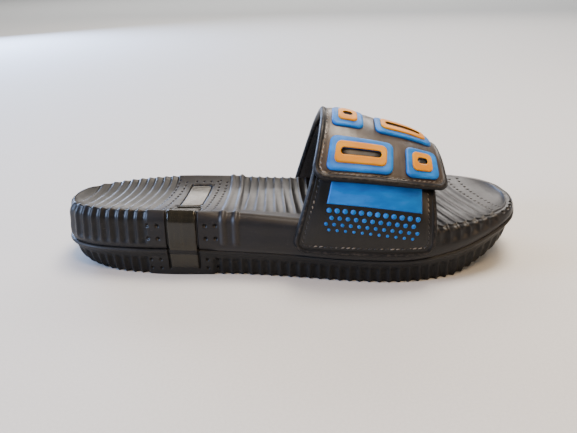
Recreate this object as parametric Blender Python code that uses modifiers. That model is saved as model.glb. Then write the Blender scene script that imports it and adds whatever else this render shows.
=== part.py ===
"""Sport slide sandal for the right foot: a moulded foam sole and a wide two-piece instep strap.

Metres. +X points to the toe, +Y to the medial side and +Z up. The sole stands on Z = 0, and the
origin is at the bottom centre of the whole sandal.
"""

import functools
import math
from collections import namedtuple

import bmesh
import bpy
import numpy as np
from mathutils import Vector

# Sole: driving sizes
SOLE_LENGTH = 0.2835
HEEL_WIDTH = 0.0748
BALL_WIDTH = 0.1045
RIM_HEIGHT = 0.0415
TOE_SPRING = 0.0120
ARCH_RISE = 0.0015
ARCH_LATERAL_SHARE = 0.3
UNDERCUT = 0.0085
LIP_PROUD = 0.0008
LIP_START = 0.9
RIM_INSET = 0.0050
END_ROUND = 0.0090

# Outsole cup that the midsole sits in
CUP_WALL = 0.0040
CUP_DRAFT = 0.0006
CUP_FLOOR = 0.0080
SEAT_GAP = 0.0003

# Ribs of the wall and the footbed, and the lugs of the tread
WALL_RIB_DEPTH = 0.0011
BED_RIB_DEPTH = 0.0009
BED_FLATNESS = 2.6
BED_FADE_WIDTH = 0.6
HEEL_RIB_PITCH = 0.0055
BED_RIB_PITCH = 0.0063
LOWER_RIB_PITCH = 0.0058
TREAD_DEPTH = 0.0015
TREAD_EDGE = 0.0070
TREAD_EDGE_SHARE = 0.8
PLAIN_STEP = 0.0055

# Band in the side of the arch, and the window plate in the footbed
BAND_WIDTH = 0.0170
BAND_THICKNESS = 0.0015
BAND_FOOT_HEIGHT = 0.0045
BAND_ALONG = 0.276
BAND_INNER_REACH = 0.255
PLATE_LENGTH = 0.0302
PLATE_WIDTH = 0.0133
PLATE_THICKNESS = 0.0012
PLATE_DEPTH = 0.0004
PLATE_CORNER = 0.0025
PLATE_ALONG = 0.287
PLATE_ACROSS = 0.0051

# Instep strap
STRAP_THICKNESS = 0.0038
FLAP_THICKNESS = 0.0042
OVERLAP_GAP = 0.0006
STRAP_FOOT_HEIGHT = 0.0196
STRAP_SPRINGING = 0.0240
STRAP_CORNER = 0.0080
FLAP_REAR_CORNER = 0.0095
FLAP_FRONT_CORNER = 0.0055
FLAP_EDGE_HEIGHT = 0.0612
FLAP_EDGE_DROP = 0.0090
FLAP_FLARE = 0.0020
FLAP_FLARE_LENGTH = 0.0140
STRAP_ROUNDNESS = 2.3
STRAP_EDGE_ROUND = 0.0009
FIRST_GUESS = 0.1
GUESSES = 8
OVERLAP_END = 0.44
OVERLAP_RAMP = 0.20
OVERLAP_SLACK = 0.005

# Moulded pods on the flap and the band on the lateral half
POD_SEAT = 0.00045
POD_THICKNESS = 0.0016
POD_BEVEL = 0.0014
POD_HEIGHT = 0.0180
POD_CORNER = 0.0035
INLAY_THICKNESS = 0.0008
INLAY_MARGIN = 0.0034
SLOT_WIDTH = 0.0034
SLOT_ROUNDNESS = 0.49
POD_WALL_SHARE = 0.4
POD_CAP_SHARE = 0.5
MOTIF_THICKNESS = 0.0007
MOTIF_TUCK = 0.0030
MOTIF_HEIGHT = 0.0105
MOTIF_LEVEL = 0.15

# Each row is a cross-section of the sole. along is a share of the length, lateral and medial are
# shares of the width named in that row, the heights are shares of the rim height, and undercut,
# spring and arch are shares of those sizes. skew is how far the ribs lean, as a share of the width.
SoleRow = namedtuple(
    "SoleRow",
    "along width lateral medial lip rim_lateral rim_medial footbed undercut spring arch skew",
)
SOLE = [
    SoleRow(0.000, HEEL_WIDTH, 0.000, 0.000, 0.422, 0.960, 0.960, 0.960, 1.00, 0.12, 0.00, -0.16),
    SoleRow(0.023, HEEL_WIDTH, 0.262, 0.265, 0.422, 0.988, 0.945, 0.880, 0.94, 0.08, 0.00, -0.16),
    SoleRow(0.074, HEEL_WIDTH, 0.401, 0.416, 0.422, 1.008, 0.935, 0.862, 0.70, 0.03, 0.00, -0.16),
    SoleRow(0.146, HEEL_WIDTH, 0.473, 0.480, 0.422, 1.006, 0.955, 0.850, 0.33, 0.00, 0.00, -0.16),
    SoleRow(0.248, HEEL_WIDTH, 0.520, 0.480, 0.422, 0.995, 0.985, 0.843, 0.18, 0.00, 0.00, -0.12),
    SoleRow(0.381, HEEL_WIDTH, 0.545, 0.465, 0.390, 0.960, 0.968, 0.834, 0.15, 0.00, 1.00, -0.04),
    SoleRow(0.504, BALL_WIDTH, 0.440, 0.343, 0.380, 0.913, 0.920, 0.807, 0.15, 0.00, 0.80, 0.04),
    SoleRow(0.626, BALL_WIDTH, 0.500, 0.412, 0.361, 0.867, 0.850, 0.759, 0.15, 0.00, 0.20, 0.10),
    SoleRow(0.729, BALL_WIDTH, 0.522, 0.478, 0.361, 0.834, 0.795, 0.723, 0.18, 0.00, 0.00, 0.14),
    SoleRow(0.831, BALL_WIDTH, 0.477, 0.503, 0.434, 0.824, 0.776, 0.718, 0.31, 0.00, 0.00, 0.18),
    SoleRow(0.913, BALL_WIDTH, 0.374, 0.455, 0.570, 0.834, 0.780, 0.728, 0.70, 0.32, 0.00, 0.20),
    SoleRow(0.974, BALL_WIDTH, 0.232, 0.308, 0.700, 0.843, 0.798, 0.752, 0.94, 0.78, 0.00, 0.20),
    SoleRow(1.000, BALL_WIDTH, -0.043, 0.043, 0.745, 0.828, 0.828, 0.828, 1.00, 1.00, 0.00, 0.20),
]

# Wall profiles. rise is a share of the wall's height and inset a share of the named inset.
WallRow = namedtuple("WallRow", "rise inset ribbed")
UPPER_WALL = [
    WallRow(0.00, 0.20, 0.0),
    WallRow(0.12, 0.00, 0.0),
    WallRow(0.50, 0.06, 1.0),
    WallRow(0.86, 0.34, 1.0),
    WallRow(1.00, 1.00, 0.7),
]
LOWER_WALL = [
    WallRow(0.00, 1.00, 0.0),
    WallRow(0.14, 0.64, 1.0),
    WallRow(0.45, 0.28, 1.0),
    WallRow(0.78, 0.08, 0.6),
    WallRow(0.92, 0.00, 0.0),
    WallRow(1.00, 0.05, 0.0),
]

# Where the points across the footbed lie, as shares of the way from rim to rim
BED_SHARES = [0.0, 0.08, 0.22, 0.41, 0.60, 0.78, 0.92, 1.0]

# Runs of ribs, from and to as shares of the length. wall_from is where they also run down the wall.
RibRun = namedtuple("RibRun", "start end pitch wall_from")
UPPER_RIBS = [
    RibRun(0.179, 0.024, HEEL_RIB_PITCH, 0.0),
    RibRun(0.352, 0.377, 0.0070, 0.0),
    RibRun(0.403, 0.914, BED_RIB_PITCH, 0.80),
]
LOWER_RIBS = [
    RibRun(0.179, 0.024, HEEL_RIB_PITCH, 0.0),
    RibRun(0.356, 0.972, LOWER_RIB_PITCH, 0.0),
]

# Inner height of the strap's crest along the sole, as a share of the crest's full height
CREST_HEIGHT = 0.0860
CrestRow = namedtuple("CrestRow", "along height")
CREST = [
    CrestRow(0.497, 1.017),
    CrestRow(0.574, 1.003),
    CrestRow(0.617, 0.979),
    CrestRow(0.657, 0.939),
    CrestRow(0.698, 0.892),
    CrestRow(0.749, 0.829),
    CrestRow(0.789, 0.757),
    CrestRow(0.811, 0.715),
    CrestRow(0.842, 0.643),
]

# Edges of the strap along the sole, as shares of its length, at both feet and at the crest
StrapEdge = namedtuple("StrapEdge", "lateral crest medial bend")
REAR_EDGE = StrapEdge(0.5065, 0.5705, 0.503, 1.3)
FLAP_FRONT_EDGE = StrapEdge(0.805, 0.8215, 0.790, 0.7)
LATERAL_FRONT_EDGE = StrapEdge(0.793, 0.793, 0.793, 1.0)

# Pods: where each lies along the flap, from rear to front edge, and its row up from the free edge
PodRow = namedtuple("PodRow", "start end up slot")
PodPlace = namedtuple("PodPlace", "centre up length width")
PODS = [
    PodRow(0.100, 0.575, 0.0048, 0.62),
    PodRow(0.670, 0.925, 0.0048, 0.30),
    PodRow(0.095, 0.345, 0.0300, 0.30),
    PodRow(0.440, 0.920, 0.0300, 0.62),
]
MOTIF_START = 0.17
MOTIF_END = 0.88

Material = namedtuple("Material", "colour roughness metallic")
FOAM = Material((0.045, 0.043, 0.050), 0.42, 0.0)
OUTSOLE_FOAM = Material((0.035, 0.034, 0.040), 0.50, 0.0)
BAND_PLASTIC = Material((0.090, 0.088, 0.062), 0.22, 0.3)
PLATE_FOIL = Material((0.420, 0.360, 0.270), 0.35, 0.6)
STRAP_LEATHER = Material((0.014, 0.013, 0.013), 0.48, 0.0)
POD_BLUE = Material((0.055, 0.290, 0.730), 0.40, 0.0)
INLAY_YELLOW = Material((1.000, 0.520, 0.005), 0.42, 0.0)


def monotone(xs, ys, x):
    """Smooth curve through (xs, ys) that does not overshoot its points."""
    xs = np.asarray(xs)
    ys = np.asarray(ys)
    step = np.diff(xs)
    slope = np.diff(ys) / step
    tangent = np.zeros(len(xs))
    rising = slope[:-1] * slope[1:] > 0
    before = 2 * step[1:] + step[:-1]
    after = step[1:] + 2 * step[:-1]
    with np.errstate(divide="ignore", invalid="ignore"):
        mean = (before + after) / (before / slope[:-1] + after / slope[1:])
    tangent[1:-1] = np.where(rising, mean, 0.0)
    tangent[0] = slope[0]
    tangent[-1] = slope[-1]
    x = np.clip(x, xs[0], xs[-1])
    i = np.clip(np.searchsorted(xs, x) - 1, 0, len(step) - 1)
    t = (x - xs[i]) / step[i]
    return (
        (1 + 2 * t) * (1 - t) ** 2 * ys[i]
        + t * (1 - t) ** 2 * step[i] * tangent[i]
        + t * t * (3 - 2 * t) * ys[i + 1]
        + t * t * (t - 1) * step[i] * tangent[i + 1]
    )


def sole_value(column, x):
    """A column of the sole table at the place x along the sole."""
    shares = [row.along for row in SOLE]
    values = [getattr(row, column) for row in SOLE]
    return float(monotone(shares, values, x / SOLE_LENGTH + 0.5))


def closed_curve(points, samples):
    """Smooth closed curve through the points, each stretch cut into the same number of samples."""
    points = np.asarray(points)
    count = len(points)
    curve = []
    for i in range(count):
        a, b, c, d = (points[(i + k) % count] for k in (-1, 0, 1, 2))
        ab, bc, cd = (math.sqrt(np.linalg.norm(q - p)) for p, q in ((a, b), (b, c), (c, d)))
        start = bc * ((b - a) / ab - (c - a) / (ab + bc) + (c - b) / bc)
        end = bc * ((c - b) / bc - (d - b) / (bc + cd) + (d - c) / cd)
        for k in range(samples):
            t = k / samples
            curve.append(
                (1 + 2 * t) * (1 - t) ** 2 * b
                + t * (1 - t) ** 2 * start
                + t * t * (3 - 2 * t) * c
                + t * t * (t - 1) * end
            )
    return np.array(curve)


def sole_sides():
    """The outline of the sole as two runs of points from heel to toe, lateral then medial."""
    lateral = [((r.along - 0.5) * SOLE_LENGTH, -r.lateral * r.width) for r in SOLE]
    medial = [((r.along - 0.5) * SOLE_LENGTH, r.medial * r.width) for r in SOLE]
    samples = 40
    loop = closed_curve(lateral + medial[-2:0:-1], samples)
    toe = (len(SOLE) - 1) * samples
    return loop[: toe + 1], np.vstack([loop[toe:], loop[:1]])[::-1]


LATERAL_SIDE, MEDIAL_SIDE = sole_sides()


def outline_point(x, side, inset=0.0):
    """Point of the outline at x, side -1 lateral or +1 medial, moved inwards by inset."""
    run = LATERAL_SIDE if side < 0 else MEDIAL_SIDE
    place = np.interp(x, run[:, 0], np.arange(len(run)))
    low = int(min(math.floor(place), len(run) - 2))
    point = run[low] + (run[low + 1] - run[low]) * (place - low)
    before = max(place - 2, 0)
    after = min(place + 2, len(run) - 1)
    steps = np.arange(len(run))
    ahead = [np.interp(after, steps, run[:, k]) - np.interp(before, steps, run[:, k]) for k in (0, 1)]
    if x <= -SOLE_LENGTH / 2 or x >= SOLE_LENGTH / 2:
        inward = np.array([-math.copysign(1.0, x), 0.0])
    else:
        inward = np.array([side * ahead[1], -side * ahead[0]])
    return point + inward / np.linalg.norm(inward) * inset


def half_width(x, side):
    return abs(outline_point(x, side)[1])


# A station is one cross-section: where it starts on the lateral side, and whether a rib or a
# valley runs along it on the footbed, on the wall and under the sole.
Station = namedtuple("Station", "x bed wall groove")


def run_places(run):
    start = (run.start - 0.5) * SOLE_LENGTH
    length = abs(run.end - run.start) * SOLE_LENGTH
    count = int(length / run.pitch + 0.5)
    step = math.copysign(run.pitch, run.end - run.start)
    return [start + step * k for k in range(count + 1)]


def stations(runs):
    """Cross-sections from heel to toe: crests and valleys of the ribs, with plain ones between."""
    half = SOLE_LENGTH / 2
    found = []
    for run in runs:
        places = sorted(run_places(run))
        wall_from = (run.wall_from - 0.5) * SOLE_LENGTH
        for k, x in enumerate(places):
            valley = x - run.pitch / 2
            deep = 1.0 if valley > wall_from else 0.0
            found.append(Station(valley, 1.0, deep, float(k % 2)))
            found.append(Station(x, 0.0, 0.0, 0.0))
        last = places[-1] + run.pitch / 2
        found.append(Station(last, 1.0, 1.0 if last > wall_from else 0.0, 0.0))
    limit = half - END_ROUND
    found = [s for s in found if abs(s.x) < limit - PLAIN_STEP / 4]
    edges = [-limit] + sorted(s.x for s in found) + [limit]
    for low, high in zip(edges, edges[1:]):
        spare = int((high - low) / PLAIN_STEP)
        for k in range(1, spare + 1):
            found.append(Station(low + (high - low) * k / (spare + 1), 0.0, 0.0, 0.0))
    steps = 5
    for k in range(steps + 1):
        x = half - END_ROUND * (1 - math.cos(math.pi / 2 * k / steps))
        found.append(Station(-x, 0.0, 0.0, 0.0))
        found.append(Station(x, 0.0, 0.0, 0.0))
    return sorted(found)


def medial_x(x):
    """Where the cross-section that starts at x on the lateral side ends on the medial side."""
    width = half_width(x, -1) + half_width(x, 1)
    if abs(x) >= SOLE_LENGTH / 2:
        width = 0.0
    limit = SOLE_LENGTH / 2
    return min(max(x - sole_value("skew", x) * width, -limit), limit)


def ground_height(x, side):
    rise = sole_value("arch", x) * ARCH_RISE * (1.0 if side > 0 else ARCH_LATERAL_SHARE)
    return sole_value("spring", x) * TOE_SPRING + rise


def lip_height(x):
    return sole_value("lip", x) * RIM_HEIGHT


def rim_height(x, side):
    return sole_value("rim_lateral" if side < 0 else "rim_medial", x) * RIM_HEIGHT


def upper_wall(x, side, valley):
    """Points up the midsole's wall, from just above the lip to the rim."""
    low = lip_height(x) + SEAT_GAP
    high = rim_height(x, side)
    points = []
    for row in UPPER_WALL:
        inset = row.inset * RIM_INSET + row.ribbed * valley * WALL_RIB_DEPTH
        y = outline_point(x, side, inset)
        points.append((y[0], y[1], low + row.rise * (high - low)))
    return points


def lower_wall(x, side, valley):
    """Points up the outsole's wall, from the tread's edge to the lip."""
    low = ground_height(x, side) + valley * TREAD_DEPTH * TREAD_EDGE_SHARE
    high = lip_height(x)
    points = []
    for row in LOWER_WALL:
        proud = LIP_PROUD if row.rise < LIP_START else 0.0
        inset = row.inset * sole_value("undercut", x) * UNDERCUT
        inset += proud + row.ribbed * valley * WALL_RIB_DEPTH
        y = outline_point(x, side, inset)
        points.append((y[0], y[1], low + row.rise * (high - low)))
    return points


def footbed_line(x, valley=0.0, shares=None):
    """Points across the footbed, from the lateral rim to the medial rim."""
    far = medial_x(x)
    start = upper_wall(x, -1, 0.0)[-1]
    end = upper_wall(far, 1, 0.0)[-1]
    width = math.dist(start[:2], end[:2])
    fullness = min(1.0, width / (HEEL_WIDTH * BED_FADE_WIDTH))
    points = []
    for share in shares or BED_SHARES:
        turn = 0.5 - 0.5 * math.cos(math.pi * share)
        px = start[0] + (end[0] - start[0]) * turn
        py = start[1] + (end[1] - start[1]) * share
        rim = start[2] + (end[2] - start[2]) * share
        drop = rim - sole_value("footbed", px) * RIM_HEIGHT
        hollow = (1 - abs(2 * share - 1) ** BED_FLATNESS) * max(drop, 0.0) * fullness
        points.append((px, py, rim - hollow - valley * BED_RIB_DEPTH * fullness))
    return points


def cup_line(x, gap):
    """Points across the seat between outsole and midsole, from lateral lip to medial lip."""
    far = medial_x(x)
    points = []
    for side, place in ((-1, x), (1, far)):
        reach = CUP_WALL + gap
        lip = outline_point(place, side, reach)
        floor = outline_point(place, side, reach + CUP_DRAFT)
        floor_height = ground_height(place, side) + CUP_FLOOR + gap
        pair = [
            (lip[0], lip[1], lip_height(place) + gap),
            (floor[0], floor[1], floor_height),
        ]
        points += pair if side < 0 else pair[::-1]
    return points


def tread_line(x, groove):
    """Points across the tread, from the medial edge to the lateral edge, without the edges."""
    far = medial_x(x)
    points = []
    for side, place in ((1, far), (-1, x)):
        reach = sole_value("undercut", place) * UNDERCUT + LIP_PROUD + TREAD_EDGE
        y = outline_point(place, side, reach)
        points.append((y[0], y[1], ground_height(place, side) + groove * TREAD_DEPTH))
    return points


def mesh_object(name, vertices, faces, material, collection):
    mesh = bpy.data.meshes.new(name)
    mesh.from_pydata([tuple(v) for v in vertices], [], faces)
    work = bmesh.new()
    work.from_mesh(mesh)
    bmesh.ops.remove_doubles(work, verts=work.verts, dist=2e-6)
    bmesh.ops.dissolve_degenerate(work, edges=work.edges, dist=1e-7)
    bmesh.ops.recalc_face_normals(work, faces=work.faces)
    work.to_mesh(mesh)
    work.free()
    made = bpy.data.objects.new(name, mesh)
    collection.objects.link(made)
    if material:
        mesh.materials.append(surface(name, material))
    return made


def surface(name, look):
    """A Principled material with this colour, roughness and metallic value."""
    made = bpy.data.materials.new(name)
    made.use_nodes = True
    shader = made.node_tree.nodes["Principled BSDF"]
    shader.inputs["Base Color"].default_value = (*look.colour, 1.0)
    shader.inputs["Roughness"].default_value = look.roughness
    shader.inputs["Metallic"].default_value = look.metallic
    made.diffuse_color = (*look.colour, 1.0)
    return made


def ring_solid(name, rings, material, collection):
    """Closed solid through rings of equal size. The first and last rings have shrunk to a line."""
    size = len(rings[0])
    vertices = [point for ring in rings for point in ring]
    faces = []
    for i in range(len(rings) - 1):
        for k in range(size):
            after = (k + 1) % size
            faces.append(
                (i * size + k, i * size + after, (i + 1) * size + after, (i + 1) * size + k)
            )
    return mesh_object(name, vertices, faces, material, collection)


def sheet_solid(name, low, high, material, collection):
    """Closed solid between two grids of points of equal size."""
    rows, columns = len(low), len(low[0])
    flat = [point for grid in (low, high) for row in grid for point in row]
    start = rows * columns

    def at(layer, row, column):
        return layer * start + row * columns + column

    faces = []
    for r in range(rows - 1):
        for c in range(columns - 1):
            for layer in (0, 1):
                faces.append(
                    (
                        at(layer, r, c),
                        at(layer, r, c + 1),
                        at(layer, r + 1, c + 1),
                        at(layer, r + 1, c),
                    )
                )
    border = [(0, c) for c in range(columns)]
    border += [(r, columns - 1) for r in range(1, rows)]
    border += [(rows - 1, c) for c in range(columns - 2, -1, -1)]
    border += [(r, 0) for r in range(rows - 2, 0, -1)]
    for here, after in zip(border, border[1:] + border[:1]):
        faces.append((at(0, *here), at(0, *after), at(1, *after), at(1, *here)))
    return mesh_object(name, flat, faces, material, collection)


def round_edges(target, width, segments=1, angle=50):
    bevel = target.modifiers.new("edge", "BEVEL")
    bevel.width = width
    bevel.segments = segments
    bevel.limit_method = "ANGLE"
    bevel.angle_limit = math.radians(angle)


def cut(target, cutter):
    hole = target.modifiers.new("cut " + cutter.name, "BOOLEAN")
    hole.operation = "DIFFERENCE"
    hole.solver = "EXACT"
    hole.object = cutter


def as_cutter(target):
    target.hide_render = True
    target.display_type = "WIRE"
    return target


def make_outsole(collection):
    rings = []
    for station in stations(LOWER_RIBS):
        x = station.x
        far = medial_x(x)
        wall = station.wall
        lateral = lower_wall(x, -1, wall)
        medial = lower_wall(far, 1, wall)
        rings.append(lateral + cup_line(x, 0.0) + medial[::-1] + tread_line(x, station.groove))
    return ring_solid("outsole", rings, OUTSOLE_FOAM, collection)


def make_midsole(collection):
    rings = []
    for station in stations(UPPER_RIBS):
        x = station.x
        far = medial_x(x)
        lateral = upper_wall(x, -1, station.wall)
        medial = upper_wall(far, 1, station.wall)
        bed = footbed_line(x, station.bed)
        seat = cup_line(x, SEAT_GAP)
        rings.append(lateral[:-1] + bed + medial[-2::-1] + seat[::-1])
    return ring_solid("midsole_footbed", rings, FOAM, collection)


def side_path(x):
    """Points up the lateral side at x, over the rim and down into the footbed."""
    low = [p for p in lower_wall(x, -1, 0.0) if p[2] < lip_height(x) - LIP_PROUD]
    high = upper_wall(x, -1, 0.0)[1:-1]
    shares = [BAND_INNER_REACH * k / 5 for k in range(6)]
    return [Vector(p) for p in low + high + footbed_line(x, 0.0, shares)]


def shifted(path, distance):
    """The path moved outwards, square to itself, in its own upright plane."""
    moved = []
    for i, point in enumerate(path):
        ahead = path[min(i + 1, len(path) - 1)] - path[max(i - 1, 0)]
        turned = Vector((0.0, -ahead.z, ahead.y))
        moved.append(point + turned.normalized() * distance)
    return moved


def band_path(x, clearance):
    """The side path from the band's foot to its inner end, both moved out by the clearance."""
    path = side_path(x)
    foot = BAND_FOOT_HEIGHT - clearance
    above = next(i for i, p in enumerate(path) if p.z > foot)
    share = (foot - path[above - 1].z) / (path[above].z - path[above - 1].z)
    start = path[above - 1].lerp(path[above], share)
    end = path[-1] + (path[-1] - path[-2]).normalized() * clearance
    return [start] + path[above:-1] + [end]


def arch_band(name, low, high, clearance, material, collection):
    middle = (BAND_ALONG - 0.5) * SOLE_LENGTH
    reach = BAND_WIDTH / 2 + clearance
    columns = 4
    places = [middle - reach + 2 * reach * k / columns for k in range(columns + 1)]
    paths = [band_path(x, clearance) for x in places]
    grids = []
    for distance in (low, high):
        moved = [shifted(path, distance) for path in paths]
        grids.append([[column[r] for column in moved] for r in range(len(moved[0]))])
    return sheet_solid(name, grids[0], grids[1], material, collection)


def plate_solid(name, low, high, grow, material, collection):
    """A plate with round corners that leans as the ribs beside it do and lies along the footbed,
    its faces at these heights from it."""
    middle = (PLATE_ALONG - 0.5) * SOLE_LENGTH
    lean = sole_value("skew", middle)
    station = middle + lean * (PLATE_ACROSS + half_width(middle, -1))
    bed = footbed_line(station, 0.0, [k / 40 for k in range(41)])
    corner = PLATE_CORNER + grow
    half_x = PLATE_WIDTH / 2 + grow
    straight = PLATE_LENGTH / 2 + grow - corner
    ends = [straight + corner * math.sin(math.radians(30 * k)) for k in range(4)]
    inner = [straight * k / 3 for k in (-2, -1, 0, 1, 2)]
    grids = ([], [])
    for py in [-end for end in reversed(ends)] + inner + ends:
        over = max(abs(py) - straight, 0.0)
        reach = half_x - corner + math.sqrt(max(corner**2 - over**2, 0.0))
        across = PLATE_ACROSS + py
        surface_height = float(np.interp(across, [p[1] for p in bed], [p[2] for p in bed]))
        for grid, distance in zip(grids, (low, high)):
            sides = (middle - reach - lean * py, middle + reach - lean * py)
            grid.append([Vector((px, across, surface_height + distance)) for px in sides])
    return sheet_solid(name, grids[0], grids[1], material, collection)


@functools.lru_cache(maxsize=None)
def strap_section(x, offset):
    """Upright section of the strap's surface at x: points from lateral to medial, and how far
    along the section each one is, as a share of its whole length."""
    shares = [row.along for row in CREST]
    heights = [row.height for row in CREST]
    crest = float(monotone(shares, heights, x / SOLE_LENGTH + 0.5)) * CREST_HEIGHT
    lateral = -(half_width(x, -1) + SEAT_GAP)
    medial = half_width(x, 1) + SEAT_GAP
    middle = (lateral + medial) / 2
    reach = (medial - lateral) / 2 + offset
    height = crest - STRAP_SPRINGING + offset
    power = 2 / STRAP_ROUNDNESS
    turns = np.linspace(0, math.pi, 181)
    y = middle - reach * np.sign(np.cos(turns)) * np.abs(np.cos(turns)) ** power
    z = STRAP_SPRINGING + height * np.abs(np.sin(turns)) ** power
    length = np.concatenate([[0.0], np.cumsum(np.hypot(np.diff(y), np.diff(z)))])
    return y, z, length / length[-1], length[-1]


def strap_point(x, share, offset):
    """Point of the strap's surface. A share below 0 or above 1 runs straight down the sole."""
    y, z, shares, length = strap_section(round(x, 7), round(offset, 7))
    below = max(-share, share - 1, 0.0) * length
    inside = min(max(share, 0.0), 1.0)
    return Vector((x, np.interp(inside, shares, y), np.interp(inside, shares, z) - below))


def share_at_height(x, height, offset):
    """How far from its foot along the section the strap reaches this height."""
    y, z, shares, length = strap_section(round(x, 7), round(offset, 7))
    if height < STRAP_SPRINGING:
        return (height - STRAP_SPRINGING) / length
    half = len(z) // 2
    return float(np.interp(height, z[: half + 1], shares[: half + 1]))


def edge_place(edge, share):
    """Place of a strap edge along the sole, at a share of the strap's girth."""
    foot = edge.lateral if share < 0.5 else edge.medial
    rise = math.sin(math.pi * min(max(share, 0.0), 1.0)) ** (2 / STRAP_ROUNDNESS)
    along = foot + (edge.crest - foot) * rise**edge.bend
    return (along - 0.5) * SOLE_LENGTH


def strap_x(front_edge, across, share):
    """Place along the sole of a point across the strap (0 rear, 1 front) at a share of its girth."""
    rear = edge_place(REAR_EDGE, share)
    return rear + (edge_place(front_edge, share) - rear) * across


def corner_lift(distance, corner):
    """How far a round corner lifts the edge at this distance from the side."""
    if distance >= corner:
        return 0.0
    return corner - math.sqrt(max(corner**2 - (corner - distance) ** 2, 0.0))


def across_shares(width, rear_corner, front_corner, middle):
    """Places across a strap with more of them round the corners."""
    turns = [1 - math.cos(math.pi / 2 * k / 4) for k in range(5)]
    rear = [rear_corner / width * turn for turn in turns]
    front = [1 - front_corner / width * turn for turn in reversed(turns)]
    inner = [rear[-1] + (front[0] - rear[-1]) * k / middle for k in range(1, middle)]
    return rear + inner + front


def edge_share(front_edge, across, height, corners, offset, medial=False):
    """Girth share at which an edge of the strap lies, its rear and front corners rounded."""
    share = FIRST_GUESS
    for _ in range(GUESSES):
        girth = 1 - share if medial else share
        x = strap_x(front_edge, across, girth)
        rear = strap_x(front_edge, 0.0, girth)
        front = strap_x(front_edge, 1.0, girth)
        lift = max(corner_lift(x - rear, corners[0]), corner_lift(front - x, corners[1]))
        length = strap_section(round(x, 7), round(offset, 7))[3]
        share = share_at_height(x, height, offset) + lift / length
    return 1 - share if medial else share


def flap_offset(share, free_share, length):
    """Height of the flap's inner face above the inside of the strap."""
    over = 1 - min(max((share - OVERLAP_END) / OVERLAP_RAMP, 0.0), 1.0)
    over = over * over * (3 - 2 * over)
    near = 1 - min(max((share - free_share) * length / FLAP_FLARE_LENGTH, 0.0), 1.0)
    return over * (STRAP_THICKNESS + OVERLAP_GAP) + FLAP_FLARE * near * near


def make_strap_lateral(collection):
    width = (LATERAL_FRONT_EDGE.lateral - REAR_EDGE.lateral) * SOLE_LENGTH
    end = OVERLAP_END - OVERLAP_SLACK
    rows = 10
    low, high = [], []
    corners = (STRAP_CORNER, STRAP_CORNER)
    for across in across_shares(width, *corners, 5):
        foot = edge_share(LATERAL_FRONT_EDGE, across, STRAP_FOOT_HEIGHT, corners, 0.0)
        shares = [foot + (end - foot) * k / rows for k in range(rows + 1)]
        places = [strap_x(LATERAL_FRONT_EDGE, across, share) for share in shares]
        low.append([strap_point(x, s, 0.0) for x, s in zip(places, shares)])
        high.append([strap_point(x, s, STRAP_THICKNESS) for x, s in zip(places, shares)])
    made = sheet_solid("strap_lateral", low, high, STRAP_LEATHER, collection)
    round_edges(made, STRAP_EDGE_ROUND)
    return made


def flap_edge_height(across):
    """Height of the flap's free edge, which drops a little from rear to front."""
    return FLAP_EDGE_HEIGHT - FLAP_EDGE_DROP * across**2


@functools.lru_cache(maxsize=None)
def flap_free_share(across, corners=(0.0, 0.0)):
    offset = STRAP_THICKNESS + OVERLAP_GAP
    return edge_share(FLAP_FRONT_EDGE, across, flap_edge_height(across), corners, offset)


def flap_point(across, share, height):
    """Point at this height above the flap's inner face."""
    x = strap_x(FLAP_FRONT_EDGE, across, share)
    length = strap_section(round(x, 7), 0.0)[3]
    free = flap_free_share(across)
    return strap_point(x, share, flap_offset(share, free, length) + height)


def make_strap_flap(collection):
    width = (FLAP_FRONT_EDGE.lateral - REAR_EDGE.lateral) * SOLE_LENGTH
    rows = 18
    low, high = [], []
    corners = (FLAP_REAR_CORNER, FLAP_FRONT_CORNER)
    foot_corners = (STRAP_CORNER, STRAP_CORNER)
    for across in across_shares(width, *corners, 5):
        free = flap_free_share(across, corners)
        foot = edge_share(FLAP_FRONT_EDGE, across, STRAP_FOOT_HEIGHT, foot_corners, 0.0, True)
        shares = [free + (foot - free) * k / rows for k in range(rows + 1)]
        low.append([flap_point(across, share, 0.0) for share in shares])
        high.append([flap_point(across, share, FLAP_THICKNESS) for share in shares])
    made = sheet_solid("strap_flap", low, high, STRAP_LEATHER, collection)
    round_edges(made, STRAP_EDGE_ROUND)
    return made


def flap_surface(across, up, height):
    """Point at this height above the flap's outer face, up along its girth from the free edge."""
    free = flap_free_share(across)
    x = strap_x(FLAP_FRONT_EDGE, across, (free + OVERLAP_END) / 2)
    length = strap_section(round(x, 7), 0.0)[3]
    return flap_point(across, free + up / length, FLAP_THICKNESS + height)


def rounded_loop(length, height, corner, sides=4, straights=3):
    """Points of a rectangle with round corners about its centre, anticlockwise."""
    loop = []
    quarters = ((1, 1, 0), (-1, 1, 90), (-1, -1, 180), (1, -1, 270))
    for sx, sy, first in quarters:
        for k in range(sides):
            angle = math.radians(first + 90 * k / (sides - 1))
            px = sx * (length / 2 - corner) + corner * math.cos(angle)
            py = sy * (height / 2 - corner) + corner * math.sin(angle)
            loop.append((px, py))
    split = []
    for i, (here, after) in enumerate(zip(loop, loop[1:] + loop[:1])):
        parts = straights if i % sides == sides - 1 else 1
        for k in range(parts):
            t = k / parts
            split.append((here[0] + (after[0] - here[0]) * t, here[1] + (after[1] - here[1]) * t))
    return split


def pod_place(row):
    """A pod's centre along the flap as a share and up its girth, and its length."""
    width = (FLAP_FRONT_EDGE.crest - REAR_EDGE.crest) * SOLE_LENGTH
    centre = (row.start + row.end) / 2
    return PodPlace(centre, row.up + POD_HEIGHT / 2, (row.end - row.start) * width, width)


def on_pod(row, loop, height):
    """Points of a flat loop about the pod's centre, laid on the flap at this height."""
    place = pod_place(row)
    return [
        flap_surface(place.centre + px / place.width, place.up + py, height) for px, py in loop
    ]


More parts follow.
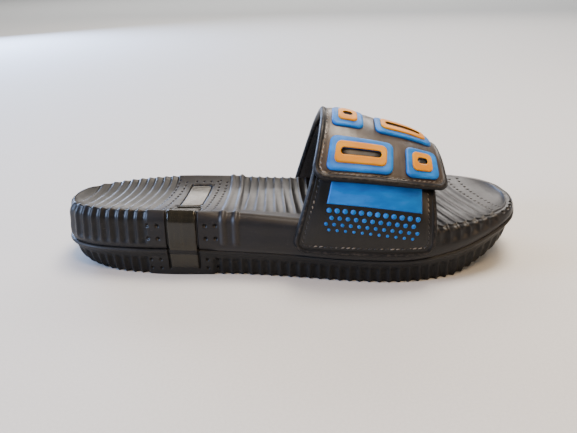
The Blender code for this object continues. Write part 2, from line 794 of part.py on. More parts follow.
def pod_loop(row, inset, height, corner, shrink=1.0):
    """A pod's outline moved inwards by inset and shrunk, at this height above the flap."""
    length = pod_place(row).length
    loop = rounded_loop(length - 2 * inset, POD_HEIGHT - 2 * inset, corner)
    return on_pod(row, [(shrink * px, shrink * py) for px, py in loop], height)


def capped_solid(name, loops, centres, material, collection):
    """Closed solid through loops of equal size, with a centre point over each end loop."""
    size = len(loops[0])
    vertices = [point for loop in loops for point in loop] + centres
    faces = []
    for i in range(len(loops) - 1):
        for k in range(size):
            after = (k + 1) % size
            faces.append(
                (i * size + k, i * size + after, (i + 1) * size + after, (i + 1) * size + k)
            )
    for end, middle in ((0, len(vertices) - 2), (len(loops) - 1, len(vertices) - 1)):
        for k in range(size):
            faces.append((end * size + k, end * size + (k + 1) % size, middle))
    return mesh_object(name, vertices, faces, material, collection)


def make_pod_base(name, row, collection):
    low = POD_SEAT
    high = POD_SEAT + POD_THICKNESS
    inner = POD_CORNER - POD_BEVEL / 2
    loops = [
        pod_loop(row, 0.0, low, POD_CORNER, POD_CAP_SHARE),
        pod_loop(row, 0.0, low, POD_CORNER),
        pod_loop(row, 0.0, low + POD_THICKNESS * POD_WALL_SHARE, POD_CORNER),
        pod_loop(row, POD_BEVEL, high, inner),
        pod_loop(row, POD_BEVEL, high, inner, POD_CAP_SHARE),
    ]
    centres = [on_pod(row, [(0.0, 0.0)], height)[0] for height in (low, high)]
    capped_solid(name, loops, centres, POD_BLUE, collection)


def make_pod_inlay(name, row, collection):
    """The inlay is a closed band of sections round its slot."""
    low = POD_SEAT + POD_THICKNESS + SEAT_GAP
    high = low + INLAY_THICKNESS
    corner = POD_CORNER - POD_BEVEL / 2
    slot = rounded_loop(pod_place(row).length * row.slot, SLOT_WIDTH, SLOT_WIDTH * SLOT_ROUNDNESS)
    loops = [
        pod_loop(row, INLAY_MARGIN, low, corner),
        pod_loop(row, INLAY_MARGIN + INLAY_THICKNESS / 2, high, corner),
        on_pod(row, slot, high),
        on_pod(row, slot, low),
    ]
    sections = [list(section) for section in zip(*loops)]
    ring_solid(name, sections + sections[:1], INLAY_YELLOW, collection)


def make_pods(collection):
    for number, row in enumerate(PODS, 1):
        make_pod_base(f"pod_base_{number}", row, collection)
        make_pod_inlay(f"pod_inlay_{number}", row, collection)


def make_lateral_motif(collection):
    columns, rows = 10, 4
    low, high = [], []
    seat = STRAP_THICKNESS + SEAT_GAP
    for c in range(columns + 1):
        across = MOTIF_START + (MOTIF_END - MOTIF_START) * c / columns
        x = strap_x(LATERAL_FRONT_EDGE, across, MOTIF_LEVEL)
        length = strap_section(round(x, 7), 0.0)[3]
        top = share_at_height(x, flap_edge_height(across), seat) + MOTIF_TUCK / length
        foot = top - (MOTIF_TUCK + MOTIF_HEIGHT) / length
        shares = [foot + (top - foot) * k / rows for k in range(rows + 1)]
        places = [strap_x(LATERAL_FRONT_EDGE, across, share) for share in shares]
        low.append([strap_point(x, s, seat) for x, s in zip(places, shares)])
        high.append([strap_point(x, s, seat + MOTIF_THICKNESS) for x, s in zip(places, shares)])
    return sheet_solid("lateral_motif", low, high, POD_BLUE, collection)


def make_collection(name):
    made = bpy.data.collections.new(name)
    bpy.context.scene.collection.children.link(made)
    return made


def stand_on_origin(collection):
    """Parents every piece to an empty placed so that the origin is at the bottom centre."""
    corners = [
        vertex.co for piece in collection.objects for vertex in piece.data.vertices
    ]
    low = [min(corner[k] for corner in corners) for k in range(3)]
    high = [max(corner[k] for corner in corners) for k in range(3)]
    base = bpy.data.objects.new("slide_sandal", None)
    base.location = (-(low[0] + high[0]) / 2, -(low[1] + high[1]) / 2, -low[2])
    for piece in collection.objects:
        piece.parent = base
    return base


def main():
    for old in list(bpy.data.objects):
        bpy.data.objects.remove(old, do_unlink=True)
    pieces = make_collection("sport_slide_sandal")
    cutters = make_collection("cutters")
    outsole = make_outsole(pieces)
    midsole = make_midsole(pieces)
    arch_band("arch_band", -BAND_THICKNESS, 0.0, 0.0, BAND_PLASTIC, pieces)
    depth = -BAND_THICKNESS - SEAT_GAP
    groove = arch_band("groove", depth, BAND_THICKNESS, SEAT_GAP, None, cutters)
    cut(outsole, as_cutter(groove))
    cut(midsole, groove)
    top = -PLATE_DEPTH
    bottom = top - PLATE_THICKNESS
    plate_solid("footbed_plate", bottom, top, 0.0, PLATE_FOIL, pieces)
    window = plate_solid(
        "window", bottom - SEAT_GAP, PLATE_THICKNESS, SEAT_GAP, None, cutters
    )
    cut(midsole, as_cutter(window))
    make_strap_lateral(pieces)
    make_strap_flap(pieces)
    make_pods(pieces)
    make_lateral_motif(pieces)
    base = stand_on_origin(pieces)
    pieces.objects.link(base)
    for cutter in cutters.objects:
        cutter.parent = base
    for piece in pieces.objects:
        if piece.type == "MESH":
            piece.data.shade_smooth()
            piece.data.set_sharp_from_angle(angle=math.radians(35))


main()
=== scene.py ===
"""Looks of the sport slide sandal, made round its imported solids.

Metres. +X points to the toe, +Y to the medial side, +Z up. The sizes and tables in capitals are the
part's own; the surfaces here follow the same sections with a finer step.
"""

import math
from collections import namedtuple

import bmesh
import bpy
import numpy as np
from mathutils import Matrix, Vector
from mathutils.kdtree import KDTree


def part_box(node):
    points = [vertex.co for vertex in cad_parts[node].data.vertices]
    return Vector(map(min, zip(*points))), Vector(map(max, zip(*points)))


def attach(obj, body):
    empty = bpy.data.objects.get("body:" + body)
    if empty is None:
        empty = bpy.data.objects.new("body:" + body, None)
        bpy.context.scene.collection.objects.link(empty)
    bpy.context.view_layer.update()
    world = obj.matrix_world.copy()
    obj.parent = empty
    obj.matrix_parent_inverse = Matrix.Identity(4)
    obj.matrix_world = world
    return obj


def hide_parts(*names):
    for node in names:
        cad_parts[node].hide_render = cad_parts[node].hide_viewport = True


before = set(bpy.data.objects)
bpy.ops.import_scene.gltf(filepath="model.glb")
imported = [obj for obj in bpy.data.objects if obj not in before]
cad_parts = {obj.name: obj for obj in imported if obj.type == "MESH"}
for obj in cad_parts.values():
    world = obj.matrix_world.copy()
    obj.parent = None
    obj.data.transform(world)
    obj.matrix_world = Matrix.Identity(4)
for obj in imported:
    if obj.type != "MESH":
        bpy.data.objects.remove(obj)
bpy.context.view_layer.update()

MM = 0.001

# Sole: driving sizes
SOLE_LENGTH = 0.2835
HEEL_WIDTH = 0.0748
BALL_WIDTH = 0.1045
RIM_HEIGHT = 0.0415
TOE_SPRING = 0.0120
ARCH_RISE = 0.0015
ARCH_LATERAL_SHARE = 0.3
UNDERCUT = 0.0085
LIP_PROUD = 0.0008
LIP_START = 0.9
RIM_INSET = 0.0050
END_ROUND = 0.0090

# Outsole cup that the midsole sits in
CUP_WALL = 0.0040
CUP_DRAFT = 0.0006
CUP_FLOOR = 0.0080
SEAT_GAP = 0.0003

# Ribs of the wall and the footbed, and the lugs of the tread
WALL_RIB_DEPTH = 0.0011
BED_FLATNESS = 2.6
BED_FADE_WIDTH = 0.6
HEEL_RIB_PITCH = 0.0055
BED_RIB_PITCH = 0.0063
LOWER_RIB_PITCH = 0.0058
TREAD_DEPTH = 0.0015
TREAD_EDGE_SHARE = 0.8

# Band in the side of the arch, and the window plate in the footbed
BAND_WIDTH = 0.0170
BAND_THICKNESS = 0.0015
BAND_FOOT_HEIGHT = 0.0045
BAND_ALONG = 0.276
BAND_INNER_REACH = 0.255
PLATE_LENGTH = 0.0302
PLATE_WIDTH = 0.0133
PLATE_THICKNESS = 0.0012
PLATE_DEPTH = 0.0004
PLATE_CORNER = 0.0025
PLATE_ALONG = 0.287
PLATE_ACROSS = 0.0051

# Instep strap
STRAP_THICKNESS = 0.0038
FLAP_THICKNESS = 0.0042
OVERLAP_GAP = 0.0006
STRAP_FOOT_HEIGHT = 0.0196
STRAP_SPRINGING = 0.0240
STRAP_CORNER = 0.0080
FLAP_REAR_CORNER = 0.0095
FLAP_FRONT_CORNER = 0.0055
FLAP_EDGE_HEIGHT = 0.0612
FLAP_EDGE_DROP = 0.0090
FLAP_FLARE = 0.0020
FLAP_FLARE_LENGTH = 0.0140
STRAP_ROUNDNESS = 2.3
FIRST_GUESS = 0.1
GUESSES = 8
OVERLAP_END = 0.44
OVERLAP_RAMP = 0.20
OVERLAP_SLACK = 0.005

# Moulded pods on the flap and the band on the lateral half
POD_SEAT = 0.00045
POD_THICKNESS = 0.0016
POD_BEVEL = 0.0014
POD_HEIGHT = 0.0180
POD_CORNER = 0.0035
INLAY_THICKNESS = 0.0008
INLAY_MARGIN = 0.0034
SLOT_WIDTH = 0.0034
SLOT_ROUNDNESS = 0.49
MOTIF_THICKNESS = 0.0007
MOTIF_TUCK = 0.0030
MOTIF_HEIGHT = 0.0105
MOTIF_LEVEL = 0.15

# Each row is a cross-section of the sole. along is a share of the length, lateral and medial are
# shares of the width named in that row, the heights are shares of the rim height, and undercut,
# spring and arch are shares of those sizes. skew is how far the ribs lean, as a share of the width.
SoleRow = namedtuple(
    "SoleRow",
    "along width lateral medial lip rim_lateral rim_medial footbed undercut spring arch skew",
)
SOLE = [
    SoleRow(0.000, HEEL_WIDTH, 0.000, 0.000, 0.422, 0.960, 0.960, 0.960, 1.00, 0.12, 0.00, -0.16),
    SoleRow(0.023, HEEL_WIDTH, 0.262, 0.265, 0.422, 0.988, 0.945, 0.880, 0.94, 0.08, 0.00, -0.16),
    SoleRow(0.074, HEEL_WIDTH, 0.401, 0.416, 0.422, 1.008, 0.935, 0.862, 0.70, 0.03, 0.00, -0.16),
    SoleRow(0.146, HEEL_WIDTH, 0.473, 0.480, 0.422, 1.006, 0.955, 0.850, 0.33, 0.00, 0.00, -0.16),
    SoleRow(0.248, HEEL_WIDTH, 0.520, 0.480, 0.422, 0.995, 0.985, 0.843, 0.18, 0.00, 0.00, -0.12),
    SoleRow(0.381, HEEL_WIDTH, 0.545, 0.465, 0.390, 0.960, 0.968, 0.834, 0.15, 0.00, 1.00, -0.04),
    SoleRow(0.504, BALL_WIDTH, 0.440, 0.343, 0.380, 0.913, 0.920, 0.807, 0.15, 0.00, 0.80, 0.04),
    SoleRow(0.626, BALL_WIDTH, 0.500, 0.412, 0.361, 0.867, 0.850, 0.759, 0.15, 0.00, 0.20, 0.10),
    SoleRow(0.729, BALL_WIDTH, 0.522, 0.478, 0.361, 0.834, 0.795, 0.723, 0.18, 0.00, 0.00, 0.14),
    SoleRow(0.831, BALL_WIDTH, 0.477, 0.503, 0.434, 0.824, 0.776, 0.718, 0.31, 0.00, 0.00, 0.18),
    SoleRow(0.913, BALL_WIDTH, 0.374, 0.455, 0.570, 0.834, 0.780, 0.728, 0.70, 0.32, 0.00, 0.20),
    SoleRow(0.974, BALL_WIDTH, 0.232, 0.308, 0.700, 0.843, 0.798, 0.752, 0.94, 0.78, 0.00, 0.20),
    SoleRow(1.000, BALL_WIDTH, -0.043, 0.043, 0.745, 0.828, 0.828, 0.828, 1.00, 1.00, 0.00, 0.20),
]

# Wall profiles. rise is a share of the wall's height and inset a share of the named inset.
WallRow = namedtuple("WallRow", "rise inset ribbed")
UPPER_WALL = [
    WallRow(0.00, 0.20, 0.0),
    WallRow(0.12, 0.00, 0.0),
    WallRow(0.50, 0.06, 1.0),
    WallRow(0.86, 0.34, 1.0),
    WallRow(1.00, 1.00, 0.7),
]
LOWER_WALL = [
    WallRow(0.00, 1.00, 0.0),
    WallRow(0.14, 0.64, 1.0),
    WallRow(0.45, 0.28, 1.0),
    WallRow(0.78, 0.08, 0.6),
    WallRow(0.92, 0.00, 0.0),
    WallRow(1.00, 0.05, 0.0),
]

# Runs of ribs, from and to as shares of the length. wall_from is where they also run down the wall.
RibRun = namedtuple("RibRun", "start end pitch wall_from")
UPPER_RIBS = [
    RibRun(0.179, 0.024, HEEL_RIB_PITCH, 0.0),
    RibRun(0.352, 0.377, 0.0070, 0.0),
    RibRun(0.403, 0.914, BED_RIB_PITCH, 0.80),
]
LOWER_RIBS = [
    RibRun(0.179, 0.024, HEEL_RIB_PITCH, 0.0),
    RibRun(0.356, 0.972, LOWER_RIB_PITCH, 0.0),
]

# Inner height of the strap's crest along the sole, as a share of the crest's full height
CREST_HEIGHT = 0.0860
CrestRow = namedtuple("CrestRow", "along height")
CREST = [
    CrestRow(0.497, 1.017),
    CrestRow(0.574, 1.003),
    CrestRow(0.617, 0.979),
    CrestRow(0.657, 0.939),
    CrestRow(0.698, 0.892),
    CrestRow(0.749, 0.829),
    CrestRow(0.789, 0.757),
    CrestRow(0.811, 0.715),
    CrestRow(0.842, 0.643),
]

# Edges of the strap along the sole, as shares of its length, at both feet and at the crest
StrapEdge = namedtuple("StrapEdge", "lateral crest medial bend")
REAR_EDGE = StrapEdge(0.5065, 0.5705, 0.503, 1.3)
FLAP_FRONT_EDGE = StrapEdge(0.805, 0.8215, 0.790, 0.7)
LATERAL_FRONT_EDGE = StrapEdge(0.793, 0.793, 0.793, 1.0)

# Pods: where each lies along the flap, from rear to front edge, and its row up from the free edge
PodRow = namedtuple("PodRow", "start end up slot")
PodPlace = namedtuple("PodPlace", "centre up length width")
PODS = [
    PodRow(0.100, 0.575, 0.0048, 0.62),
    PodRow(0.670, 0.925, 0.0048, 0.30),
    PodRow(0.095, 0.345, 0.0300, 0.30),
    PodRow(0.440, 0.920, 0.0300, 0.62),
]
MOTIF_START = 0.17
MOTIF_END = 0.88

# Steps of the fine surfaces, and how far round the small features the faces are cut finer
OUTLINE_SAMPLES = 40
STATION_STEP = 0.00057
END_STEPS = 18
BED_CONTROL = [0.0, 0.035, 0.09, 0.19, 0.34, 0.5, 0.66, 0.81, 0.91, 0.965, 1.0]
BED_STEPS = [3, 4, 7, 10, 10, 10, 10, 7, 4, 3]
BED_SAMPLES = 60
UPPER_STEPS = [4, 8, 9, 5]
LOWER_STEPS = [4, 6, 6, 4, 3]
TREAD_STEPS = 54
FINE_MARGIN = 0.0004
BAND_FINE_REACH = 0.0017

# Relief of the midsole: depths, pitches and how sharp the valleys are. A label runs round each
# section: 0 to 1 up the lateral wall, 1 to 2 over the bed, 2 to 3 down the medial wall, and past 3
# under the sole. Names that end in FOOT, TOP or FADE are labels between which a form comes or goes.
BED_VALLEY = 0.76
FLUTE_POWER = 0.6
FLUTE_DEPTH = 0.0014
FLUTE_FOOT = (0.08, 0.26)
FLUTE_TOP = (0.93, 1.0)
CREST_WEAR = 0.35
CREST_LEVEL = 0.97
CREST_WIDTH = 0.045
HEEL_BED_DEPTH = 0.0012
HEEL_SHIFT = 0.0012
HEEL_WALL_PITCH = 0.0059
FRONT_BED_DEPTH = 0.0011
FRONT_VALLEY = 0.60
FRONT_POWER = 0.40
FRONT_NEAR_FADE = (1.20, 1.25)
FRONT_WALL_FADE = (0.30, 0.66)
FRONT_FAR_FADE = (2.02, 2.10)
FRONT_WALL_REACH = (-0.002, 0.004)
WRAP_RIBS = ((-0.0390, -0.0425), (-0.0315, -0.0356))
WRAP_HALF_WIDTH = 0.0023
WRAP_RISE = 0.0010
WRAP_POWER = 1.5
WRAP_FOOT = (0.14, 0.26)
FORWARD_FROM = (-0.050, -0.040)
RIM_EASE = 0.0007
RIM_EASE_LEVEL = 0.98
RIM_EASE_WIDTH = 0.07
PARTING_FILL = 0.0006
PARTING_FADE = (0.0, 0.14)
PARTING_CLEARANCE = 0.002

# Recesses beside the band, behind its inner end and round the plate
BAND_GAP_WIDTH = 0.0010
BAND_GAP_DEPTH = 0.0011
BAND_GAP_SHOULDER = (0.3, 0.9)
BAR_RECESS_MIDDLE = -0.0145
BAR_RECESS_WIDTH = 0.0078
BAR_RECESS_DEPTH = 0.0009
BAR_RECESS_SHOULDER = (-0.0004, 0.0002)
RECESS_RIM = 0.0016
RECESS_SINK = 0.0006
RECESS_WALL = 0.00035

# Relief of the outsole: flutes of the wall, lugs and channels of the tread, bead at the lip
LOWER_VALLEY = 0.5
LOWER_FLUTE_GAIN = 1.35
LOWER_FLUTE_TOP = (0.55, 0.74)
LUG_SHOULDER = (0.35, 0.8)
LUG_FADE = (0.1, 0.2)
LUG_FADE_SHARE = 0.85
CHANNEL_PITCH = 0.0092
CHANNEL_SHOULDER = (0.72, 0.95)
CHANNEL_FADE = (0.07, 0.12)
CHANNEL_SHARE = 0.7
LOWER_DENT_SHARE = 0.8
BEAD_RISE = 0.0006
BEAD_LEVEL = 0.93
BEAD_WIDTH = 0.055
BEAD_LOW_AT = -0.02
BEAD_FULL_AFTER = 0.11

# Pinholes of the footbed: columns beside the plate and rows above it, each with its shift in steps
DIMPLE_RADIUS = 0.0011
DIMPLE_DEPTH = 0.0008
DISH_FLAT = 0.15
PINHOLE_COLUMNS = ((-0.0846, 0.0), (-0.0790, 0.5), (-0.0525, 0.0), (-0.0470, 0.5))
PINHOLE_PITCH = 0.0039
PINHOLE_NEAR_MARGIN = 0.0065
PINHOLE_FAR_MARGIN = 0.005
PINHOLE_ROWS = ((0.845, 0.0), (0.905, 0.5))
PINHOLE_ROW_START = -0.0740
PINHOLE_ROW_PITCH = 0.0056
PINHOLES_IN_ROW = 4

# Pinholes of the toe: arcs past the last rib with their near margins, and those by the far rim
TOE_DIMPLE_RADIUS = 0.0011
TOE_ARCS = ((0.0085, 0.006), (0.0145, 0.005))
TOE_ARC_PITCH = 0.0045
TOE_ARC_MARGIN = 0.004
TOE_FAR_DIMPLES = (0.1010, 0.1085, 0.1155, 0.1220, 0.1275)
TOE_FAR_SHARE = 0.90
TOE_WALL_DIMPLES = (0.1290, 0.1333, 0.1364, 0.1387)
TOE_DIMPLE_ROW = 3

# Dimples of the lateral wall on both sides of the band
WALL_DIMPLE_RADIUS = 0.0016
WALL_DIMPLE_DEPTH = 0.0012
WALL_DIMPLE_PLACES = (-0.0840, -0.0780, -0.0495, -0.0435)
WALL_DIMPLE_HEIGHTS = (0.0330, 0.0250, 0.0105, 0.0048)

HALF = SOLE_LENGTH / 2


# Curves and sections of the sole
def hermite(t, start, leave, end, arrive):
    """Point at t, from 0 to 1, between start and end with these tangents times the length."""
    return (
        (1 + 2 * t) * (1 - t) ** 2 * start
        + t * (1 - t) ** 2 * leave
        + t * t * (3 - 2 * t) * end
        + t * t * (t - 1) * arrive
    )


def monotone(xs, ys, x):
    """Smooth curve through (xs, ys) that does not overshoot its points."""
    xs = np.asarray(xs)
    ys = np.asarray(ys)
    step = np.diff(xs)
    slope = np.diff(ys) / step
    tangent = np.zeros(len(xs))
    rising = slope[:-1] * slope[1:] > 0
    before = 2 * step[1:] + step[:-1]
    after = step[1:] + 2 * step[:-1]
    with np.errstate(divide="ignore", invalid="ignore"):
        mean = (before + after) / (before / slope[:-1] + after / slope[1:])
    tangent[1:-1] = np.where(rising, mean, 0.0)
    tangent[0] = slope[0]
    tangent[-1] = slope[-1]
    x = np.clip(x, xs[0], xs[-1])
    i = np.clip(np.searchsorted(xs, x) - 1, 0, len(step) - 1)
    t = (x - xs[i]) / step[i]
    return hermite(t, ys[i], step[i] * tangent[i], ys[i + 1], step[i] * tangent[i + 1])


def sole_x(share):
    """Place along the sole, from its middle, of a share of its length."""
    return (share - 0.5) * SOLE_LENGTH


def sole_value(column, x):
    """A column of the sole table at the places x along the sole."""
    shares = [row.along for row in SOLE]
    values = [getattr(row, column) for row in SOLE]
    return monotone(shares, values, np.asarray(x) / SOLE_LENGTH + 0.5)


def smooth_step(value, low, high):
    """0 below low, 1 above high and a soft S between them."""
    t = np.clip((value - low) / (high - low), 0.0, 1.0)
    return t * t * (3 - 2 * t)


def hump(value, middle, width):
    """1 at the middle, fading softly to both sides."""
    return np.exp(-(((value - middle) / width) ** 2))


def closed_curve(points, samples):
    """Smooth closed curve through the points, each stretch cut into the same number of samples."""
    count = len(points)
    curve = []
    t = np.arange(samples)[:, None] / samples
    for i in range(count):
        a, b, c, d = (points[(i + k) % count] for k in (-1, 0, 1, 2))
        ab, bc, cd = (math.sqrt(np.linalg.norm(q - p)) for p, q in ((a, b), (b, c), (c, d)))
        start = bc * ((b - a) / ab - (c - a) / (ab + bc) + (c - b) / bc)
        end = bc * ((c - b) / bc - (d - b) / (bc + cd) + (d - c) / cd)
        curve.append(hermite(t, b, start, c, end))
    return np.vstack(curve)


def sole_sides():
    """The outline of the sole as two runs of points from heel to toe, lateral then medial."""
    lateral = [(sole_x(r.along), -r.lateral * r.width) for r in SOLE]
    medial = [(sole_x(r.along), r.medial * r.width) for r in SOLE]
    loop = closed_curve(np.array(lateral + medial[-2:0:-1]), OUTLINE_SAMPLES)
    toe = (len(SOLE) - 1) * OUTLINE_SAMPLES
    return {-1: loop[: toe + 1], 1: np.vstack([loop[toe:], loop[:1]])[::-1]}


SIDES = sole_sides()
BAND_MIDDLE = sole_x(BAND_ALONG)
PLATE_MIDDLE = sole_x(PLATE_ALONG)
PLATE_LEAN = float(sole_value("skew", PLATE_MIDDLE))

# The part stands with its box centred on the origin, so its table of widths is moved across
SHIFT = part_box("midsole_footbed")[0].y - SIDES[-1][:, 1].min()


def outline(x, side, inset=0.0):
    """Points (x, y) of the outline at the places x on one side, moved inwards by inset."""
    run = SIDES[side]
    steps = np.arange(len(run))
    place = np.interp(x, run[:, 0], steps)

    def at(where):
        return np.stack([np.interp(where, steps, run[:, k]) for k in (0, 1)], -1)

    ahead = at(np.minimum(place + 2, len(run) - 1)) - at(np.maximum(place - 2, 0))
    inward = np.stack([side * ahead[..., 1], -side * ahead[..., 0]], -1)
    tip = np.abs(x) >= HALF
    inward[tip] = np.stack([-np.sign(x[tip]), np.zeros(tip.sum())], -1)
    inward /= np.linalg.norm(inward, axis=-1, keepdims=True)
    return at(place) + inward * np.broadcast_to(inset, x.shape)[..., None]


def half_width(x, side):
    """Distance of the outline on one side from the sole's middle line."""
    return np.abs(outline(x, side)[..., 1])


def medial_x(x):
    """Where the cross-section that starts at x on the lateral side ends on the medial side."""
    width = half_width(x, -1) + half_width(x, 1)
    width[np.abs(x) >= HALF] = 0.0
    return np.clip(x - sole_value("skew", x) * width, -HALF, HALF)


def ground_height(x, side):
    rise = sole_value("arch", x) * ARCH_RISE * (1.0 if side > 0 else ARCH_LATERAL_SHARE)
    return sole_value("spring", x) * TOE_SPRING + rise


def lip_height(x):
    """Height of the parting line between outsole and midsole."""
    return sole_value("lip", x) * RIM_HEIGHT


def rim_height(x, side):
    return sole_value("rim_lateral" if side < 0 else "rim_medial", x) * RIM_HEIGHT


def upper_wall(x, side):
    """Columns of points up the midsole's wall, from just above the lip to the rim."""
    low = lip_height(x) + SEAT_GAP
    high = rim_height(x, side)
    columns = []
    for row in UPPER_WALL:
        spot = outline(x, side, row.inset * RIM_INSET)
        columns.append(np.column_stack([spot, low + row.rise * (high - low)]))
    return columns


def lower_wall(x, side):
    """Columns of points up the outsole's wall, from the tread's edge to the lip."""
    low = ground_height(x, side)
    high = lip_height(x)
    columns = []
    for row in LOWER_WALL:
        inset = row.inset * sole_value("undercut", x) * UNDERCUT
        inset = inset + (LIP_PROUD if row.rise < LIP_START else 0.0)
        columns.append(np.column_stack([outline(x, side, inset), low + row.rise * (high - low)]))
    return columns


def footbed(x, shares):
    """Columns of points across the footbed at these shares of the way from rim to rim."""
    far = medial_x(x)
    start = upper_wall(x, -1)[-1]
    end = upper_wall(far, 1)[-1]
    width = np.linalg.norm((end - start)[:, :2], axis=1)
    fullness = np.minimum(1.0, width / (HEEL_WIDTH * BED_FADE_WIDTH))
    columns = []
    for share in shares:
        turn = 0.5 - 0.5 * math.cos(math.pi * share)
        px = start[:, 0] + (end - start)[:, 0] * turn
        py = start[:, 1] + (end - start)[:, 1] * share
        rim = start[:, 2] + (end - start)[:, 2] * share
        drop = np.maximum(rim - sole_value("footbed", px) * RIM_HEIGHT, 0.0)
        hollow = (1 - abs(2 * share - 1) ** BED_FLATNESS) * drop * fullness
        columns.append(np.column_stack([px, py, rim - hollow]))
    return columns


def cup_line(x, gap):
    """Columns of points across the seat between outsole and midsole, lateral lip to medial lip."""
    columns = []
    for side, place in ((-1, x), (1, medial_x(x))):
        reach = CUP_WALL + gap
        lip = np.column_stack([outline(place, side, reach), lip_height(place) + gap])
        height = ground_height(place, side) + CUP_FLOOR + gap
        floor = np.column_stack([outline(place, side, reach + CUP_DRAFT), height])
        columns += [lip, floor] if side < 0 else [floor, lip]
    return columns


def through(columns, labels, steps):
    """Smooth surface through columns of points, each stretch cut into its number of steps."""
    points = np.stack(columns, 1)
    gaps = np.diff(points, axis=1)
    lengths = np.maximum(np.linalg.norm(gaps, axis=2, keepdims=True), 1e-7)
    slopes = gaps / lengths
    tangents = np.empty_like(points)
    tangents[:, 0] = slopes[:, 0]
    tangents[:, -1] = slopes[:, -1]
    before, after = lengths[:, :-1], lengths[:, 1:]
    tangents[:, 1:-1] = (slopes[:, :-1] * after + slopes[:, 1:] * before) / (before + after)
    made, named = [], []
    for k, count in enumerate(steps):
        for t in np.arange(count) / count:
            leave = lengths[:, k] * tangents[:, k]
            arrive = lengths[:, k] * tangents[:, k + 1]
            made.append(hermite(t, points[:, k], leave, points[:, k + 1], arrive))
            named.append(labels[k] + (labels[k + 1] - labels[k]) * t)
    made.append(points[:, -1])
    named.append(labels[-1])
    return made, named


# Fine surfaces of the sole and their relief
def fine_stations():
    """Places of the cross-sections from heel to toe, closer together at the round ends."""
    limit = HALF - END_ROUND
    turns = np.linspace(0.0, math.pi / 2, END_STEPS + 1)
    end = HALF - END_ROUND * (1 - np.cos(turns))
    middle = np.linspace(-limit, limit, int(2 * limit / STATION_STEP))
    return np.unique(np.concatenate([-end, middle[1:-1], end]))


def groove(turn, valley, power):
    """Depth between two crests, 0 on them and 1 in the valley. A low power narrows the crests."""
    turn = turn % 1.0
    turn = np.where(turn < valley, turn / valley / 2, 0.5 + (turn - valley) / (1 - valley) / 2)
    return (0.5 - 0.5 * np.cos(2 * math.pi * turn)) ** power


def run_phase(x, run, shift=0.0, pitch=None):
    """Crests passed since the first one of a run, counted along it."""
    first = sole_x(run.start) + shift
    way = math.copysign(1.0, run.end - run.start)
    return (x - first) * way / (run.pitch if pitch is None else pitch)


def run_count(run):
    """Number of ribs in a run after its first."""
    return int(abs(run.end - run.start) * SOLE_LENGTH / run.pitch + 0.5)


def rib_wave(x, run, valley, power=1.0, shift=0.0, pitch=None):
    """Depth of the grooves between the ribs of a run, 0 on a crest and 1 in a groove."""
    phase = run_phase(x, run, shift, pitch)
    inside = (phase > -1) & (phase < run_count(run) + 1)
    toeward = phase if run.end > run.start else -phase
    return np.where(inside, groove(toeward, valley, power), 0.0)


def grid_mesh(name, columns):
    """Closed mesh round a ring of columns, its two ends drawn to a line."""
    points = np.stack(columns, 1)
    stations, size = points.shape[:2]
    index = np.arange(stations * size).reshape(stations, size)
    after = np.roll(index, -1, axis=1)
    quads = np.stack([index[:-1], after[:-1], after[1:], index[1:]], -1).reshape(-1, 4)
    mesh = bpy.data.meshes.new(name)
    mesh.from_pydata(points.reshape(-1, 3).tolist(), [], quads.tolist())
    return mesh


def surface_normals(points):
    """Unit normals of a grid of points, from the steps along and across it."""
    along = np.gradient(points, axis=0)
    across = np.gradient(points, axis=1)
    normal = np.cross(along, across)
    length = np.linalg.norm(normal, axis=2, keepdims=True)
    return normal / np.maximum(length, 1e-12)


def relief_mesh(name, columns, labels, x, features, relief):
    """Grid mesh with relief: faces near the small features are cut finer, then points move in.

    Till then each point carries its station, its label round the section and its way out.
    """
    points = np.stack(columns, 1)
    normals = surface_normals(points)
    middle = points.reshape(-1, 3).mean(0)
    if ((points - middle) * normals).sum() < 0:
        normals = -normals
    mesh = grid_mesh(name, columns)
    work = bmesh.new()
    work.from_mesh(mesh)
    layers = work.verts.layers
    station = layers.float.new("station")
    label = layers.float.new("label")
    out = layers.float_vector.new("out")
    work.verts.ensure_lookup_table()
    stations = np.repeat(x, len(labels)).tolist()
    names = np.tile(labels, len(x)).tolist()
    flat = [Vector(n) for n in normals.reshape(-1, 3).tolist()]
    for k, vertex in enumerate(work.verts):
        vertex[station] = stations[k]
        vertex[label] = names[k]
        vertex[out] = flat[k]
    near = features(points.reshape(-1, 3), np.tile(labels, len(x)))
    close = [work.verts[i] for i in np.flatnonzero(near)]
    faces = {face for vertex in close for face in vertex.link_faces}
    edges = {edge for face in faces for edge in face.edges}
    bmesh.ops.subdivide_edges(work, edges=list(edges), cuts=2, use_grid_fill=True)
    spots = np.array([v.co for v in work.verts])
    ways = np.array([v[out] for v in work.verts])
    where = np.array([v[station] for v in work.verts])
    which = np.array([v[label] for v in work.verts])
    moved = relief(spots, ways, where, which)
    sunk = ((spots - moved) * ways).sum(1) / MM
    moved[:, 1] += SHIFT
    depth = work.verts.layers.float.new("sunk_mm")
    for vertex, spot, low in zip(work.verts, moved.tolist(), sunk.tolist()):
        vertex.co = spot
        vertex[depth] = low
    bmesh.ops.remove_doubles(work, verts=work.verts, dist=2e-6)
    bmesh.ops.dissolve_degenerate(work, edges=work.edges, dist=1e-7)
    bmesh.ops.recalc_face_normals(work, faces=work.faces)
    for kept_in, key in ((layers.float, "station"), (layers.float, "label"),
                         (layers.float_vector, "out")):
        kept_in.remove(kept_in[key])
    work.to_mesh(mesh)
    work.free()
    return mesh


def link_object(name, data):
    made = bpy.data.objects.new(name, data)
    bpy.context.scene.collection.objects.link(made)
    return made


def scene_object(name, mesh, *materials, angle=None):
    """Object with its materials, shaded smooth, linked to the scene."""
    for material in materials:
        mesh.materials.append(material)
    mesh.shade_smooth()
    if angle:
        mesh.set_sharp_from_angle(angle=math.radians(angle))
    return link_object(name, mesh)


def finish_piece(made, slot, *nodes):
    """Sets a finished piece on the sandal's body, in place of its plain solids."""
    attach(made, "root")
    if nodes:
        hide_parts(*nodes)
    return made


